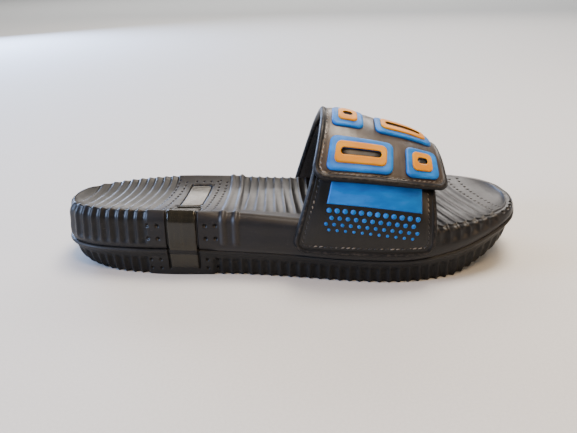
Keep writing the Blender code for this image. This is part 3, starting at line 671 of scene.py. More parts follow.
def bed_point(x, share):
    return footbed(np.array([x]), [share])[0][0]


def bed_line(x):
    """Points of the bed from its near rim to its far rim."""
    return np.array([bed_point(x, k / BED_SAMPLES) for k in range(BED_SAMPLES + 1)])


def spaced(x, first, last, pitch, shift=0.0):
    """Points of the bed along a station, a pitch apart, between two distances from its near rim."""
    line = bed_line(x)
    way = np.concatenate([[0.0], np.cumsum(np.linalg.norm(np.diff(line, axis=0), axis=1))])
    count = int((way[-1] - first - last) / pitch - shift) + 1
    places = first + pitch * (np.arange(count) + shift)
    return [[np.interp(p, way, line[:, k]) for k in range(3)] for p in places]


def bed_dimples():
    """Centres of the pinholes in the footbed: columns beside the plate and rows above it."""
    spots = []
    for column, shift in PINHOLE_COLUMNS:
        spots += spaced(column, PINHOLE_NEAR_MARGIN, PINHOLE_FAR_MARGIN, PINHOLE_PITCH, shift)
    for share, shift in PINHOLE_ROWS:
        for k in range(PINHOLES_IN_ROW):
            spots.append(bed_point(PINHOLE_ROW_START + PINHOLE_ROW_PITCH * (k + shift), share))
    return np.array(spots)


def toe_dimples():
    """Centres of the pinholes between the last rib and the toe, and along the toe's far rim."""
    spots = []
    last = sole_x(UPPER_RIBS[2].end)
    for arc, first in TOE_ARCS:
        spots += spaced(last + arc, first, TOE_ARC_MARGIN, TOE_ARC_PITCH)
    return np.array(spots + [bed_point(x, TOE_FAR_SHARE) for x in TOE_FAR_DIMPLES])


def wall_dimples(low, high):
    """Centres, as x and z, of the dimples on the lateral wall between two heights."""
    heights = [z for z in WALL_DIMPLE_HEIGHTS if low < z < high]
    return np.array([(x, z) for x in WALL_DIMPLE_PLACES for z in heights])


def dish(distance, radius):
    """Depth of a round dish as a share of its full depth."""
    return 1 - smooth_step(distance, radius * DISH_FLAT, radius)


def nearest(spots, centres):
    """Distance from each spot to the nearest centre."""
    best = np.full(len(spots), 1.0)
    for centre in centres:
        best = np.minimum(best, np.linalg.norm(spots - centre, axis=1))
    return best


def nearest_on_side(spots, centres):
    """Distance from each spot to the nearest centre, seen from the side."""
    return nearest(spots[:, [0, 2]], centres)


def on_lateral_wall(spots, which):
    return (which < 1.0) & (spots[:, 1] < 0)


def plate_distance(spots):
    """Distance of each spot from the rim of the plate's recess, negative inside it."""
    py = spots[:, 1] - PLATE_ACROSS
    px = spots[:, 0] - PLATE_MIDDLE + PLATE_LEAN * py
    qx = np.abs(px) - (PLATE_WIDTH / 2 + SEAT_GAP - PLATE_CORNER)
    qy = np.abs(py) - (PLATE_LENGTH / 2 + SEAT_GAP - PLATE_CORNER)
    outer = np.hypot(np.maximum(qx, 0), np.maximum(qy, 0))
    return outer + np.minimum(np.maximum(qx, qy), 0) - PLATE_CORNER


def heel_ribs(where, wall, share):
    """Shingled ribs of the heel that run over the rim and down the wall as flutes."""
    run = UPPER_RIBS[0]
    shift = HEEL_SHIFT * (1 - share)
    pitch = HEEL_WALL_PITCH + (HEEL_RIB_PITCH - HEEL_WALL_PITCH) * share
    shingle = rib_wave(where, run, BED_VALLEY, 1.0, shift, pitch)
    flutes = rib_wave(where, run, 0.5, FLUTE_POWER, shift, pitch)
    on_wall = 1 - smooth_step(wall, *FLUTE_TOP)
    low = smooth_step(wall, *FLUTE_FOOT)
    depth = shingle * HEEL_BED_DEPTH * (1 - on_wall) + flutes * FLUTE_DEPTH * on_wall * low
    return depth * (1 - CREST_WEAR * hump(wall, CREST_LEVEL, CREST_WIDTH))


def wrap_ribs(where, wall, share):
    """The two proud ribs behind the arch that run over both rims and down the wall."""
    rise = np.zeros(len(where))
    for near, far in WRAP_RIBS:
        crest = near + (far - near) * share
        gap = np.minimum(np.abs(where - crest) / WRAP_HALF_WIDTH, 1.0)
        rise = np.maximum(rise, WRAP_RISE * np.cos(gap * math.pi / 2) ** WRAP_POWER)
    return rise * smooth_step(wall, *WRAP_FOOT)


def front_ribs(where, which):
    """Ribs from the arch to the toe. The last ones run over the lateral rim, fading on the wall."""
    run = UPPER_RIBS[2]
    wave = rib_wave(where, run, FRONT_VALLEY, FRONT_POWER)
    toeward = smooth_step(where, *(sole_x(run.wall_from) + reach for reach in FRONT_WALL_REACH))
    near_side = smooth_step(which, *FRONT_NEAR_FADE) * (1 - toeward)
    near_side += smooth_step(which, *FRONT_WALL_FADE) * toeward
    far_side = 1 - smooth_step(which, *FRONT_FAR_FADE)
    return wave * FRONT_BED_DEPTH * near_side * far_side


def beside_band(spots):
    """Distance along the sole of each spot from the band's nearer edge, negative on the band."""
    return np.abs(spots[:, 0] - BAND_MIDDLE) - BAND_WIDTH / 2


def band_groove(spots, which):
    """Depth of the narrow shadow gap along both sides of the arch band."""
    gap = np.abs(beside_band(spots) - BAND_GAP_WIDTH / 2)
    beside = (which < 1 + BAND_INNER_REACH) & (spots[:, 1] < 0) & (spots[:, 2] > BAND_FOOT_HEIGHT)
    shoulder = [BAND_GAP_WIDTH * share for share in BAND_GAP_SHOULDER]
    return beside * BAND_GAP_DEPTH * (1 - smooth_step(gap, *shoulder))


def band_end_recess(spots):
    """Depth of the shallow recess between the band's inner end and the plate."""
    ahead = np.abs(spots[:, 1] - BAR_RECESS_MIDDLE) - BAR_RECESS_WIDTH / 2
    edge = np.maximum(beside_band(spots), ahead)
    return BAR_RECESS_DEPTH * (1 - smooth_step(edge, *BAR_RECESS_SHOULDER))


def near_band(spots, which):
    """True beside the band's edges, where the faces are cut finer."""
    close = np.abs(beside_band(spots)) < BAND_FINE_REACH
    return close & (which < 1 + BAND_INNER_REACH) & (spots[:, 1] < 0)


def midsole_surface(x):
    """Fine columns round the midsole's section at the stations x, with their labels."""
    rises = [row.rise for row in UPPER_WALL]
    bed = footbed(x, BED_CONTROL[1:-1])
    columns = upper_wall(x, -1) + bed + upper_wall(medial_x(x), 1)[::-1]
    labels = rises + [1 + share for share in BED_CONTROL[1:-1]] + [3 - r for r in rises[::-1]]
    columns, labels = through(columns, labels, UPPER_STEPS + BED_STEPS + UPPER_STEPS[::-1])
    seat = cup_line(x, SEAT_GAP)[::-1]
    return columns + seat, labels + [4.0] * len(seat)


def make_midsole(material):
    """The midsole with its ribs, flutes, pinholes and recesses."""
    pinholes = bed_dimples()
    toe = toe_dimples()
    toe_side = upper_wall(np.array(TOE_WALL_DIMPLES), -1)[TOE_DIMPLE_ROW]
    side = wall_dimples(lip_height(0.0) + PARTING_CLEARANCE, RIM_HEIGHT)

    def on_bed(which):
        return (which > 1.0) & (which < 2.0)

    def features(spots, which):
        near = nearest(spots, pinholes) < DIMPLE_RADIUS + FINE_MARGIN
        near |= nearest(spots, toe) < TOE_DIMPLE_RADIUS + FINE_MARGIN
        near |= np.abs(plate_distance(spots)) < FINE_MARGIN
        near &= on_bed(which)
        dented = nearest_on_side(spots, side) < WALL_DIMPLE_RADIUS + FINE_MARGIN
        near |= on_lateral_wall(spots, which) & dented
        near |= nearest(spots, toe_side) < WALL_DIMPLE_RADIUS + FINE_MARGIN
        return near | near_band(spots, which)

    def relief(spots, ways, where, which):
        wall = np.minimum(which, 3 - which)
        share = np.clip(which - 1, 0.0, 1.0)
        bed = on_bed(which)
        depth = heel_ribs(where, wall, share) + front_ribs(where, which)
        depth -= wrap_ribs(where, wall, share)
        depth += band_groove(spots, which) + bed * band_end_recess(spots)
        depth += bed * DIMPLE_DEPTH * dish(nearest(spots, pinholes), DIMPLE_RADIUS)
        depth += bed * DIMPLE_DEPTH * dish(nearest(spots, toe), TOE_DIMPLE_RADIUS)
        beside = on_lateral_wall(spots, which)
        forward = beside * smooth_step(spots[:, 0], *FORWARD_FROM)
        depth += forward * RIM_EASE * hump(wall, RIM_EASE_LEVEL, RIM_EASE_WIDTH)
        depth -= forward * PARTING_FILL * (1 - smooth_step(wall, *PARTING_FADE))
        for distance in (nearest_on_side(spots, side), nearest(spots, toe_side)):
            depth += beside * WALL_DIMPLE_DEPTH * dish(distance, WALL_DIMPLE_RADIUS)
        gap = plate_distance(spots)
        soft = bed * RECESS_SINK * (1 - smooth_step(gap, 0.0, RECESS_RIM))
        sunk = bed * (1 - smooth_step(gap, 0.0, RECESS_WALL))
        depth += soft + (PLATE_DEPTH + PLATE_THICKNESS + SEAT_GAP - soft) * sunk
        return spots - ways * depth[:, None]

    x = fine_stations()
    mesh = relief_mesh("midsole_footbed_foam", *midsole_surface(x), x, features, relief)
    made = scene_object("midsole_footbed_foam", mesh, material)
    return finish_piece(made, "footbed_foam", "midsole_footbed")


def outsole_surface(x):
    """Fine columns round the outsole's section at the stations x, with their labels."""
    rises = [row.rise for row in LOWER_WALL]
    lateral, names = through(lower_wall(x, -1), rises, LOWER_STEPS)
    medial, _ = through(lower_wall(medial_x(x), 1), rises, LOWER_STEPS)
    seat = cup_line(x, 0.0)
    start, end = medial[0], lateral[0]
    tread = [start + (end - start) * k / TREAD_STEPS for k in range(1, TREAD_STEPS)]
    labels = names + [2.0] * len(seat) + [3 - n for n in names[::-1]]
    labels += [3 + k / TREAD_STEPS for k in range(1, TREAD_STEPS)]
    return lateral + seat + medial[::-1] + tread, labels


def make_outsole(material):
    """The outsole with its fluted wall, tread lugs, channels and the bead at its lip."""
    side = wall_dimples(0.0, lip_height(0.0) - PARTING_CLEARANCE)

    def features(spots, which):
        near = nearest_on_side(spots, side) < WALL_DIMPLE_RADIUS + FINE_MARGIN
        return near & on_lateral_wall(spots, which) | near_band(spots, which)

    def relief(spots, ways, where, which):
        wall = np.minimum(which, 3 - which)
        under = which > 3.0
        across = np.minimum(which - 3.0, 4.0 - which)
        flute = 1 - smooth_step(wall, *LOWER_FLUTE_TOP)
        depth = np.zeros(len(spots))
        for run in LOWER_RIBS:
            wave = rib_wave(where, run, LOWER_VALLEY)
            fluted = rib_wave(where, run, LOWER_VALLEY, FLUTE_POWER)
            depth += np.where(under, 0.0, fluted * WALL_RIB_DEPTH * LOWER_FLUTE_GAIN * flute)
            lug = smooth_step(wave, *LUG_SHOULDER) * TREAD_DEPTH * TREAD_EDGE_SHARE
            lug = lug * (1 - LUG_FADE_SHARE * smooth_step(across, *LUG_FADE))
            depth += np.where(under, lug, 0.0)
        lengthwise = np.abs(np.sin(spots[:, 1] / CHANNEL_PITCH * math.pi))
        channel = smooth_step(1 - lengthwise, *CHANNEL_SHOULDER)
        channel = channel * smooth_step(across, *CHANNEL_FADE)
        depth += np.where(under, channel * TREAD_DEPTH * CHANNEL_SHARE, 0.0)
        beside = on_lateral_wall(spots, which)
        dent = dish(nearest_on_side(spots, side), WALL_DIMPLE_RADIUS * LOWER_DENT_SHARE)
        depth += beside * WALL_DIMPLE_DEPTH * LOWER_DENT_SHARE * dent
        bead = hump(wall, BEAD_LEVEL, BEAD_WIDTH) * (which < 3.0)
        ends = np.clip(np.abs(where - BEAD_LOW_AT) / BEAD_FULL_AFTER, 0.0, 1.0) ** 2
        depth -= bead * BEAD_RISE * ends
        depth += band_groove(spots, which)
        return spots - ways * depth[:, None]

    x = fine_stations()
    mesh = relief_mesh("outsole_foam", *outsole_surface(x), x, features, relief)
    made = scene_object("outsole_foam", mesh, material)
    return finish_piece(made, "outsole_foam", "outsole")


# Fine steps of the straps. The girths only set how close the rows lie.
SECTION_SAMPLES = 541
EDGE_STEPS = 15
STRAP_STEP = 0.0007
FLAP_GIRTH = 0.165
SIDE_GIRTH = 0.085
FREE_EDGE_SAMPLES = 161
DISTANCE_BATCH = 600

# Relief of the straps: rolled binding with its place among the materials, stitch trough, padding
BINDING_SLOT = 2
BINDING_WIDTH = 0.0031
BINDING_RISE = 0.00055
BINDING_FULLNESS = 0.7
FLAP_STITCH_INSET = 0.0042
SIDE_STITCH_INSET = 0.0052
STITCH_TROUGH = 0.00030
STITCH_TROUGH_WIDTH = 0.0008
PADDING_RISE = 0.00035
PADDING_REACH = 0.0120

# Stitches: pitch, size and slant of each, and the steps of the line that they follow
STITCH_SPACING = 0.0031
STITCH_LENGTH = 0.0025
STITCH_WIDTH = 0.00075
STITCH_HEIGHT = 0.0006
STITCH_SLANT = 0.28
STITCH_JITTER = 0.06
STITCH_LIFT = 0.00002
STITCH_PATH_STEP = 0.0006
STITCH_PATH_NEIGHBOURS = 4
STITCH_FACETS = (8, 6)

# Mouldings: how far meeting pieces are sunk into each other, soft rims, and the pod's dished top as
# insets and dips
SINK = 0.0001
POD_UNDERSIDE = 0.00015
POD_WALL_SHARE = 0.25
POD_BEVEL_FOOT = 0.35
POD_RIM_STEPS = 8
POD_TOP = ((0.0020, 0.00002), (0.0028, SINK), (INLAY_MARGIN, SINK))
POD_TOP_CORNER = POD_CORNER - POD_BEVEL / 2
INLAY_RIM = 0.0006
INLAY_RIM_STEPS = 7
SLOT_FLOOR_WIDER = 1.06
SLOT_FLOOR_LONGER = 1.02
SLOT_FLOOR = ((1.02, -0.0003), (1.0, 0.0), (0.6, SINK), (0.2, SINK))
MOTIF_LENGTH = 0.052
MOTIF_RIM = 0.0015
MOTIF_ROUND = 0.0009
MOTIF_SINK = 0.0002
CORNER_SAMPLES = 9
LOOP_SPLITS = (30, 16)

# Studs under the lateral band: how far below it each row lies and how wide its studs are. Their
# height is a share of their width.
STUD_ROWS = ((0.0032, 0.0030), (0.0071, 0.0026), (0.0106, 0.0022), (0.0137, 0.0018))
STUDS_IN_ROW = 12
STUD_LIFT = 0.0002
STUD_HEIGHT = 0.55
STUD_FACETS = (20, 12)

TURNS = np.linspace(0.0, math.pi, SECTION_SAMPLES)
SECTION_ACROSS = np.sign(np.cos(TURNS)) * np.abs(np.cos(TURNS)) ** (2 / STRAP_ROUNDNESS)
SECTION_UP = np.abs(np.sin(TURNS)) ** (2 / STRAP_ROUNDNESS)


# Sections and surfaces of the strap
def interp_rows(value, known, wanted):
    """Interpolation where every value has its own row of known and wanted numbers."""
    rows = np.arange(len(value))
    index = np.clip((known < value[:, None]).sum(1), 1, known.shape[1] - 1)
    low, high = known[rows, index - 1], known[rows, index]
    t = np.clip((value - low) / np.maximum(high - low, 1e-12), 0.0, 1.0)
    return wanted[rows, index - 1] * (1 - t) + wanted[rows, index] * t


def strap_sections(x, offset):
    """Upright sections of the strap at the places x: y, z and way along as a share, and length."""
    shares = [row.along for row in CREST]
    heights = [row.height for row in CREST]
    crest = monotone(shares, heights, x / SOLE_LENGTH + 0.5) * CREST_HEIGHT
    lateral = -(half_width(x, -1) + SEAT_GAP)
    medial = half_width(x, 1) + SEAT_GAP
    middle = (lateral + medial) / 2
    reach = (medial - lateral) / 2 + offset
    height = crest - STRAP_SPRINGING + offset
    y = middle[:, None] - reach[:, None] * SECTION_ACROSS
    z = STRAP_SPRINGING + height[:, None] * SECTION_UP
    steps = np.hypot(np.diff(y, axis=1), np.diff(z, axis=1))
    way = np.concatenate([np.zeros((len(x), 1)), np.cumsum(steps, axis=1)], axis=1)
    length = way[:, -1]
    return y, z, way / length[:, None], length


def strap_points(x, share, offset):
    """Points on the strap at girth shares, straight down below the springings."""
    y, z, way, length = strap_sections(x, offset)
    below = np.maximum(np.maximum(-share, share - 1), 0.0) * length
    inside = np.clip(share, 0.0, 1.0)
    return np.column_stack([x, interp_rows(inside, way, y), interp_rows(inside, way, z) - below])


def share_at_height(x, height, offset):
    """Girth share on the lateral side at which the strap passes this height."""
    y, z, way, length = strap_sections(x, offset)
    half = z.shape[1] // 2 + 1
    above = interp_rows(height + 0.0 * x, z[:, :half], way[:, :half])
    return np.where(height < STRAP_SPRINGING, (height - STRAP_SPRINGING) / length, above)


def edge_place(edge, share):
    """Place of a strap edge along the sole, at shares of the strap's girth."""
    foot = np.where(share < 0.5, edge.lateral, edge.medial)
    rise = np.sin(math.pi * np.clip(share, 0.0, 1.0)) ** (2 / STRAP_ROUNDNESS)
    return sole_x(foot + (edge.crest - foot) * rise**edge.bend)


def strap_x(front_edge, across, share):
    """Place along the sole at a share of the way from the strap's rear to its front edge."""
    rear = edge_place(REAR_EDGE, share)
    return rear + (edge_place(front_edge, share) - rear) * across


def corner_lift(distance, corner):
    """How far a round corner stands in from the edge, at a distance along it from its end."""
    if corner == 0:
        return np.zeros(len(distance))
    near = np.minimum(distance, corner)
    return corner - np.sqrt(np.maximum(corner**2 - (corner - near) ** 2, 0.0))


def edge_share(front_edge, across, height, corners, offset, medial=False):
    """Girth share at which an edge of the strap lies, its rear and front corners rounded."""
    share = np.full(len(across), FIRST_GUESS)
    for _ in range(GUESSES):
        girth = 1 - share if medial else share
        x = strap_x(front_edge, across, girth)
        rear = strap_x(front_edge, 0.0, girth)
        front = strap_x(front_edge, 1.0, girth)
        lift = np.maximum(corner_lift(x - rear, corners[0]), corner_lift(front - x, corners[1]))
        length = strap_sections(x, offset)[3]
        share = share_at_height(x, height, offset) + lift / length
    return 1 - share if medial else share


def flap_offset(share, free_share, length):
    """Height of the flap's inner face above the inside of the strap."""
    over = 1 - smooth_step(share, OVERLAP_END, OVERLAP_END + OVERLAP_RAMP)
    near = 1 - np.clip((share - free_share) * length / FLAP_FLARE_LENGTH, 0.0, 1.0)
    return over * (STRAP_THICKNESS + OVERLAP_GAP) + FLAP_FLARE * near * near


def flap_edge_height(across):
    return FLAP_EDGE_HEIGHT - FLAP_EDGE_DROP * across**2


def flap_free_share(across, corners=(0.0, 0.0)):
    """Girth share of the flap's free edge."""
    offset = STRAP_THICKNESS + OVERLAP_GAP
    return edge_share(FLAP_FRONT_EDGE, across, flap_edge_height(across), corners, offset)


PLACES = np.linspace(0.0, 1.0, FREE_EDGE_SAMPLES)
FREE_SHARES = flap_free_share(PLACES)


def flap_points(across, share, height):
    """Points at this height above the flap's inner face."""
    across = np.broadcast_to(across, share.shape).astype(float)
    x = strap_x(FLAP_FRONT_EDGE, across, share)
    length = strap_sections(x, 0.0 * x)[3]
    free = np.interp(across, PLACES, FREE_SHARES)
    return strap_points(x, share, flap_offset(share, free, length) + height)


def flap_surface(across, up, height):
    """Points at this height above the flap's outer face, up along its girth from the free edge."""
    free = np.interp(across, PLACES, FREE_SHARES)
    x = strap_x(FLAP_FRONT_EDGE, across, (free + OVERLAP_END) / 2)
    length = strap_sections(x, 0.0 * x)[3]
    return flap_points(across, free + up / length, FLAP_THICKNESS + height)


def lateral_surface(across, share, height):
    """Points at this height above the lateral half's inner face."""
    x = strap_x(LATERAL_FRONT_EDGE, across, share)
    return strap_points(x, share, height + 0.0 * x)


def edge_steps(length, start_corner, end_corner):
    """Shares of a length, closer together at its ends where corners and rims are round."""
    turns = 1 - np.cos(np.linspace(0, math.pi / 2, EDGE_STEPS))
    start = start_corner / length * turns
    end = 1 - end_corner / length * turns[::-1]
    inner = np.linspace(start[-1], end[0], int((end[0] - start[-1]) * length / STRAP_STEP))
    return np.concatenate([start, inner[1:-1], end])


def border_of(grid):
    """What stands round the border of a grid, in order."""
    return np.concatenate([grid[0, :-1], grid[:-1, -1], grid[-1, :0:-1], grid[:0:-1, 0]])


def border_distance(grid):
    """Distance of each grid point from the grid's border."""
    border = border_of(grid)
    after = np.roll(border, -1, axis=0)
    way = after - border
    size = np.maximum((way**2).sum(1), 1e-14)
    flat = grid.reshape(-1, 3)
    best = np.empty(len(flat))
    for start in range(0, len(flat), DISTANCE_BATCH):
        batch = slice(start, start + DISTANCE_BATCH)
        gap = flat[batch, None] - border[None]
        t = np.clip((gap * way).sum(2) / size, 0.0, 1.0)
        best[batch] = np.linalg.norm(gap - t[..., None] * way, axis=2).min(1)
    return best.reshape(grid.shape[:2])


def strap_relief(distance, stitch_inset):
    """Height of the binding, the stitch trough and the padding at a distance from the edge."""
    roll = np.clip(distance / BINDING_WIDTH, 0.0, 1.0)
    binding = BINDING_RISE * np.sin(math.pi * roll) ** BINDING_FULLNESS * (roll < 1)
    stitched = STITCH_TROUGH * hump(distance, stitch_inset, STITCH_TROUGH_WIDTH)
    padded = PADDING_RISE * smooth_step(distance, stitch_inset, PADDING_REACH)
    return binding - stitched + padded


def tidy_mesh(mesh):
    """Merges points that coincide, drops loose ones and turns the faces outwards."""
    work = bmesh.new()
    work.from_mesh(mesh)
    bmesh.ops.remove_doubles(work, verts=work.verts, dist=1e-6)
    bmesh.ops.dissolve_degenerate(work, edges=work.edges, dist=1e-7)
    loose = [v for v in work.verts if not v.link_faces]
    bmesh.ops.delete(work, geom=loose, context="VERTS")
    bmesh.ops.recalc_face_normals(work, faces=work.faces)
    work.to_mesh(mesh)
    work.free()


def moved_mesh(name, points, faces):
    """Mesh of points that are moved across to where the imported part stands."""
    points[:, 1] += SHIFT
    mesh = bpy.data.meshes.new(name)
    mesh.from_pydata(points.tolist(), [], faces)
    return mesh


def grid_faces(index):
    """Quads between the neighbours in a grid of point numbers."""
    return np.stack([index[:-1, :-1], index[:-1, 1:], index[1:, 1:], index[1:, :-1]], -1)


def rounded(distance, radius):
    """Height of a round edge as a share of its full height, at a distance from it."""
    near = np.clip(distance / radius, 0.0, 1.0)
    return np.sqrt(1 - (1 - near) ** 2)[..., None]


def padded_sheet(name, low, high, thickness, stitch_inset):
    """Closed sheet with round rims between two grids, its edge distance kept on the points."""
    middle = (low + high) / 2
    distance = border_distance(middle)
    half = 0.5 * rounded(distance, thickness / 2)
    out = high - low
    normal = out / np.linalg.norm(out, axis=2, keepdims=True)
    outer = low + out * (0.5 + half) + normal * strap_relief(distance, stitch_inset)[..., None]
    inner = low + out * (0.5 - half)
    rows, columns = distance.shape
    index = np.arange(rows * columns).reshape(rows, columns)
    below = index + rows * columns
    below[0], below[-1], below[:, 0], below[:, -1] = index[0], index[-1], index[:, 0], index[:, -1]
    sides = (grid_faces(index), grid_faces(below)[..., ::-1])
    quads = np.concatenate([q.reshape(-1, 4) for q in sides])
    points = np.concatenate([outer.reshape(-1, 3), inner.reshape(-1, 3)])
    mesh = moved_mesh(name, points, quads.tolist())
    edge = mesh.attributes.new("edge_mm", "FLOAT", "POINT")
    edge.data.foreach_set("value", np.tile(distance.ravel(), 2) / MM)
    inside = np.arange(len(quads)) >= (rows - 1) * (columns - 1)
    bound = distance.ravel()[quads[:, 0] % (rows * columns)] <= BINDING_WIDTH
    mesh.polygons.foreach_set("material_index", np.where(bound, BINDING_SLOT, inside).astype(int))
    tidy_mesh(mesh)
    return mesh, outer, normal


def closed_sheet(name, outer, inner, material):
    """Closed solid between two grids that meet, or are joined, at their border."""
    rows, columns = outer.shape[:2]
    size = rows * columns
    index = np.arange(size).reshape(rows, columns)
    sides = (grid_faces(index), grid_faces(index)[..., ::-1] + size)
    faces = np.concatenate([q.reshape(-1, 4) for q in sides]).tolist()
    ring = border_of(index)
    for a, b in zip(ring.tolist(), np.roll(ring, -1).tolist()):
        faces.append([a, b, b + size, a + size])
    points = np.concatenate([outer.reshape(-1, 3), inner.reshape(-1, 3)])
    mesh = moved_mesh(name, points, faces)
    tidy_mesh(mesh)
    return scene_object(name, mesh, material, angle=50)


def stitch_path(outer, normal, inset):
    """Closed line at an inset from the sheet's edge, with the way out of the surface."""
    border = border_of(outer)
    ahead = np.roll(border, -2, axis=0) - np.roll(border, 2, axis=0)
    up = border_of(normal)
    inward = np.cross(up, ahead)
    inward /= np.linalg.norm(inward, axis=1, keepdims=True)
    flat = outer.reshape(-1, 3)
    centre = outer[outer.shape[0] // 2, outer.shape[1] // 2]
    if ((centre - border) * inward).sum() < 0:
        inward = -inward
    tree = KDTree(len(flat))
    for k, spot in enumerate(flat.tolist()):
        tree.insert(spot, k)
    tree.balance()
    spots, ways = [], []
    ups = normal.reshape(-1, 3)
    for spot in (border + inward * inset).tolist():
        found = tree.find_n(spot, STITCH_PATH_NEIGHBOURS)
        weights = np.array([1 / (f[2] + 1e-6) for f in found])
        weights /= weights.sum()
        way = sum(w * ups[f[1]] for w, f in zip(weights, found))
        base = sum(w * flat[f[1]] for w, f in zip(weights, found))
        way /= np.linalg.norm(way)
        spot = np.array(spot)
        spots.append(spot + way * ((base - spot) @ way))
        ways.append(way)
    kept = [0]
    for k in range(1, len(spots)):
        if np.linalg.norm(spots[k] - spots[kept[-1]]) > STITCH_PATH_STEP:
            kept.append(k)
    return np.array([spots[k] for k in kept]), np.array([ways[k] for k in kept])


def flap_grid():
    """Grids of the flap's inner and outer face."""
    width = (FLAP_FRONT_EDGE.lateral - REAR_EDGE.lateral) * SOLE_LENGTH
    corners = (FLAP_REAR_CORNER, FLAP_FRONT_CORNER)
    foot_corners = (STRAP_CORNER, STRAP_CORNER)
    acrosses = edge_steps(width, *corners)
    free = flap_free_share(acrosses, corners)
    foot = edge_share(FLAP_FRONT_EDGE, acrosses, STRAP_FOOT_HEIGHT, foot_corners, 0.0, True)
    rows = edge_steps(FLAP_GIRTH, FLAP_REAR_CORNER, STRAP_CORNER)
    low, high = [], []
    for across, start, end in zip(acrosses, free, foot):
        shares = start + (end - start) * rows
        low.append(flap_points(across, shares, 0.0))
        high.append(flap_points(across, shares, FLAP_THICKNESS))
    return np.array(low), np.array(high)


def lateral_grid():
    """Grids of the lateral half's inner and outer face."""
    width = (LATERAL_FRONT_EDGE.lateral - REAR_EDGE.lateral) * SOLE_LENGTH
    corners = (STRAP_CORNER, STRAP_CORNER)
    acrosses = edge_steps(width, *corners)
    foot = edge_share(LATERAL_FRONT_EDGE, acrosses, STRAP_FOOT_HEIGHT, corners, 0.0)
    end = OVERLAP_END - OVERLAP_SLACK
    rows = edge_steps(SIDE_GIRTH, *corners)
    low, high = [], []
    for across, start in zip(acrosses, foot):
        shares = start + (end - start) * rows
        places = np.full(len(shares), across)
        low.append(lateral_surface(places, shares, 0.0))
        high.append(lateral_surface(places, shares, STRAP_THICKNESS))
    return np.array(low), np.array(high)


def rounded_loop(length, height, corner):
    """Points of a rectangle with round corners about its centre, anticlockwise."""
    runs = []
    for sx, sy, first in ((1, 1, 0), (-1, 1, 90), (-1, -1, 180), (1, -1, 270)):
        angles = np.radians(first + np.linspace(0, 90, CORNER_SAMPLES))
        px = sx * (length / 2 - corner) + corner * np.cos(angles)
        py = sy * (height / 2 - corner) + corner * np.sin(angles)
        runs.append(np.column_stack([px, py]))
    split = []
    for k, run in enumerate(runs):
        count = LOOP_SPLITS[k % 2]
        t = np.arange(1, count)[:, None] / count
        split += [run, run[-1] + (runs[(k + 1) % 4][0] - run[-1]) * t]
    return np.vstack(split)


def pod_place(row):
    """Centre and size of a pod on the flap."""
    width = (FLAP_FRONT_EDGE.crest - REAR_EDGE.crest) * SOLE_LENGTH
    centre = (row.start + row.end) / 2
    return PodPlace(centre, row.up + POD_HEIGHT / 2, (row.end - row.start) * width, width)


def on_pod(row, loop, height):
    """A flat loop laid on the flap about the pod's centre."""
    place = pod_place(row)
    across = place.centre + loop[:, 0] / place.width
    return flap_surface(across, place.up + loop[:, 1], height)


def ring_mesh(name, loops, closed=False, middles=()):
    """Mesh through loops of equal size, with a fan over an end loop for each middle point."""
    size = len(loops[0])
    points = np.vstack(loops + [middle for _, middle in middles])
    index = np.arange(len(loops) * size).reshape(len(loops), size)
    rings = np.vstack([index, index[:1]]) if closed else index
    after = np.roll(rings, -1, axis=1)
    faces = np.stack([rings[:-1], after[:-1], after[1:], rings[1:]], -1).reshape(-1, 4).tolist()
    for k, (end, _) in enumerate(middles):
        centre = len(loops) * size + k
        ring = index[end]
        faces += [[a, b, centre] for a, b in zip(ring.tolist(), np.roll(ring, -1).tolist())]
    mesh = moved_mesh(name, points, faces)
    tidy_mesh(mesh)
    return mesh


def round_rim(width, rise, steps):
    """Insets and heights up a soft rim from its foot to its top."""
    turns = np.linspace(0.0, math.pi / 2, steps)
    return [(width * (1 - math.cos(t)), rise * math.sin(t)) for t in turns]


def make_pod(number, row, blue):
    """A pod: straight wall, soft bevel, and a top that dips a little towards the inlay."""
    length = pod_place(row).length
    top = POD_SEAT + POD_THICKNESS
    wall = POD_SEAT + POD_THICKNESS * POD_WALL_SHARE
    bevel_foot = POD_SEAT + POD_THICKNESS * POD_BEVEL_FOOT
    shapes = [(0.0, POD_UNDERSIDE, POD_CORNER), (0.0, wall, POD_CORNER)]
    for inset, rise in round_rim(POD_BEVEL, top - bevel_foot, POD_RIM_STEPS):
        shapes.append((inset, bevel_foot + rise, POD_CORNER - inset / 2))
    shapes += [(inset, top - dip, POD_TOP_CORNER) for inset, dip in POD_TOP]
    loops = []
    for inset, height, corner in shapes:
        loop = rounded_loop(length - 2 * inset, POD_HEIGHT - 2 * inset, corner)
        loops.append(on_pod(row, loop, height))
    inner = rounded_loop(length - 2 * INLAY_MARGIN, POD_HEIGHT - 2 * INLAY_MARGIN, POD_TOP_CORNER)
    loops += [on_pod(row, inner * shrink, top - SINK) for shrink in (0.75, 0.5, 0.25)]
    foot = rounded_loop(length, POD_HEIGHT, POD_CORNER)
    under = [on_pod(row, foot * shrink, POD_UNDERSIDE) for shrink in (0.3, 0.65)]
    centre = np.zeros((1, 2))
    middles = [(0, on_pod(row, centre, POD_UNDERSIDE)),
               (len(loops) + 1, on_pod(row, centre, top - SINK))]
    mesh = ring_mesh(f"pod_base_{number}_moulded", under + loops, False, middles)
    made = scene_object(f"pod_base_{number}_moulded", mesh, blue)
    return finish_piece(made, "pod_blue", f"pod_base_{number}")


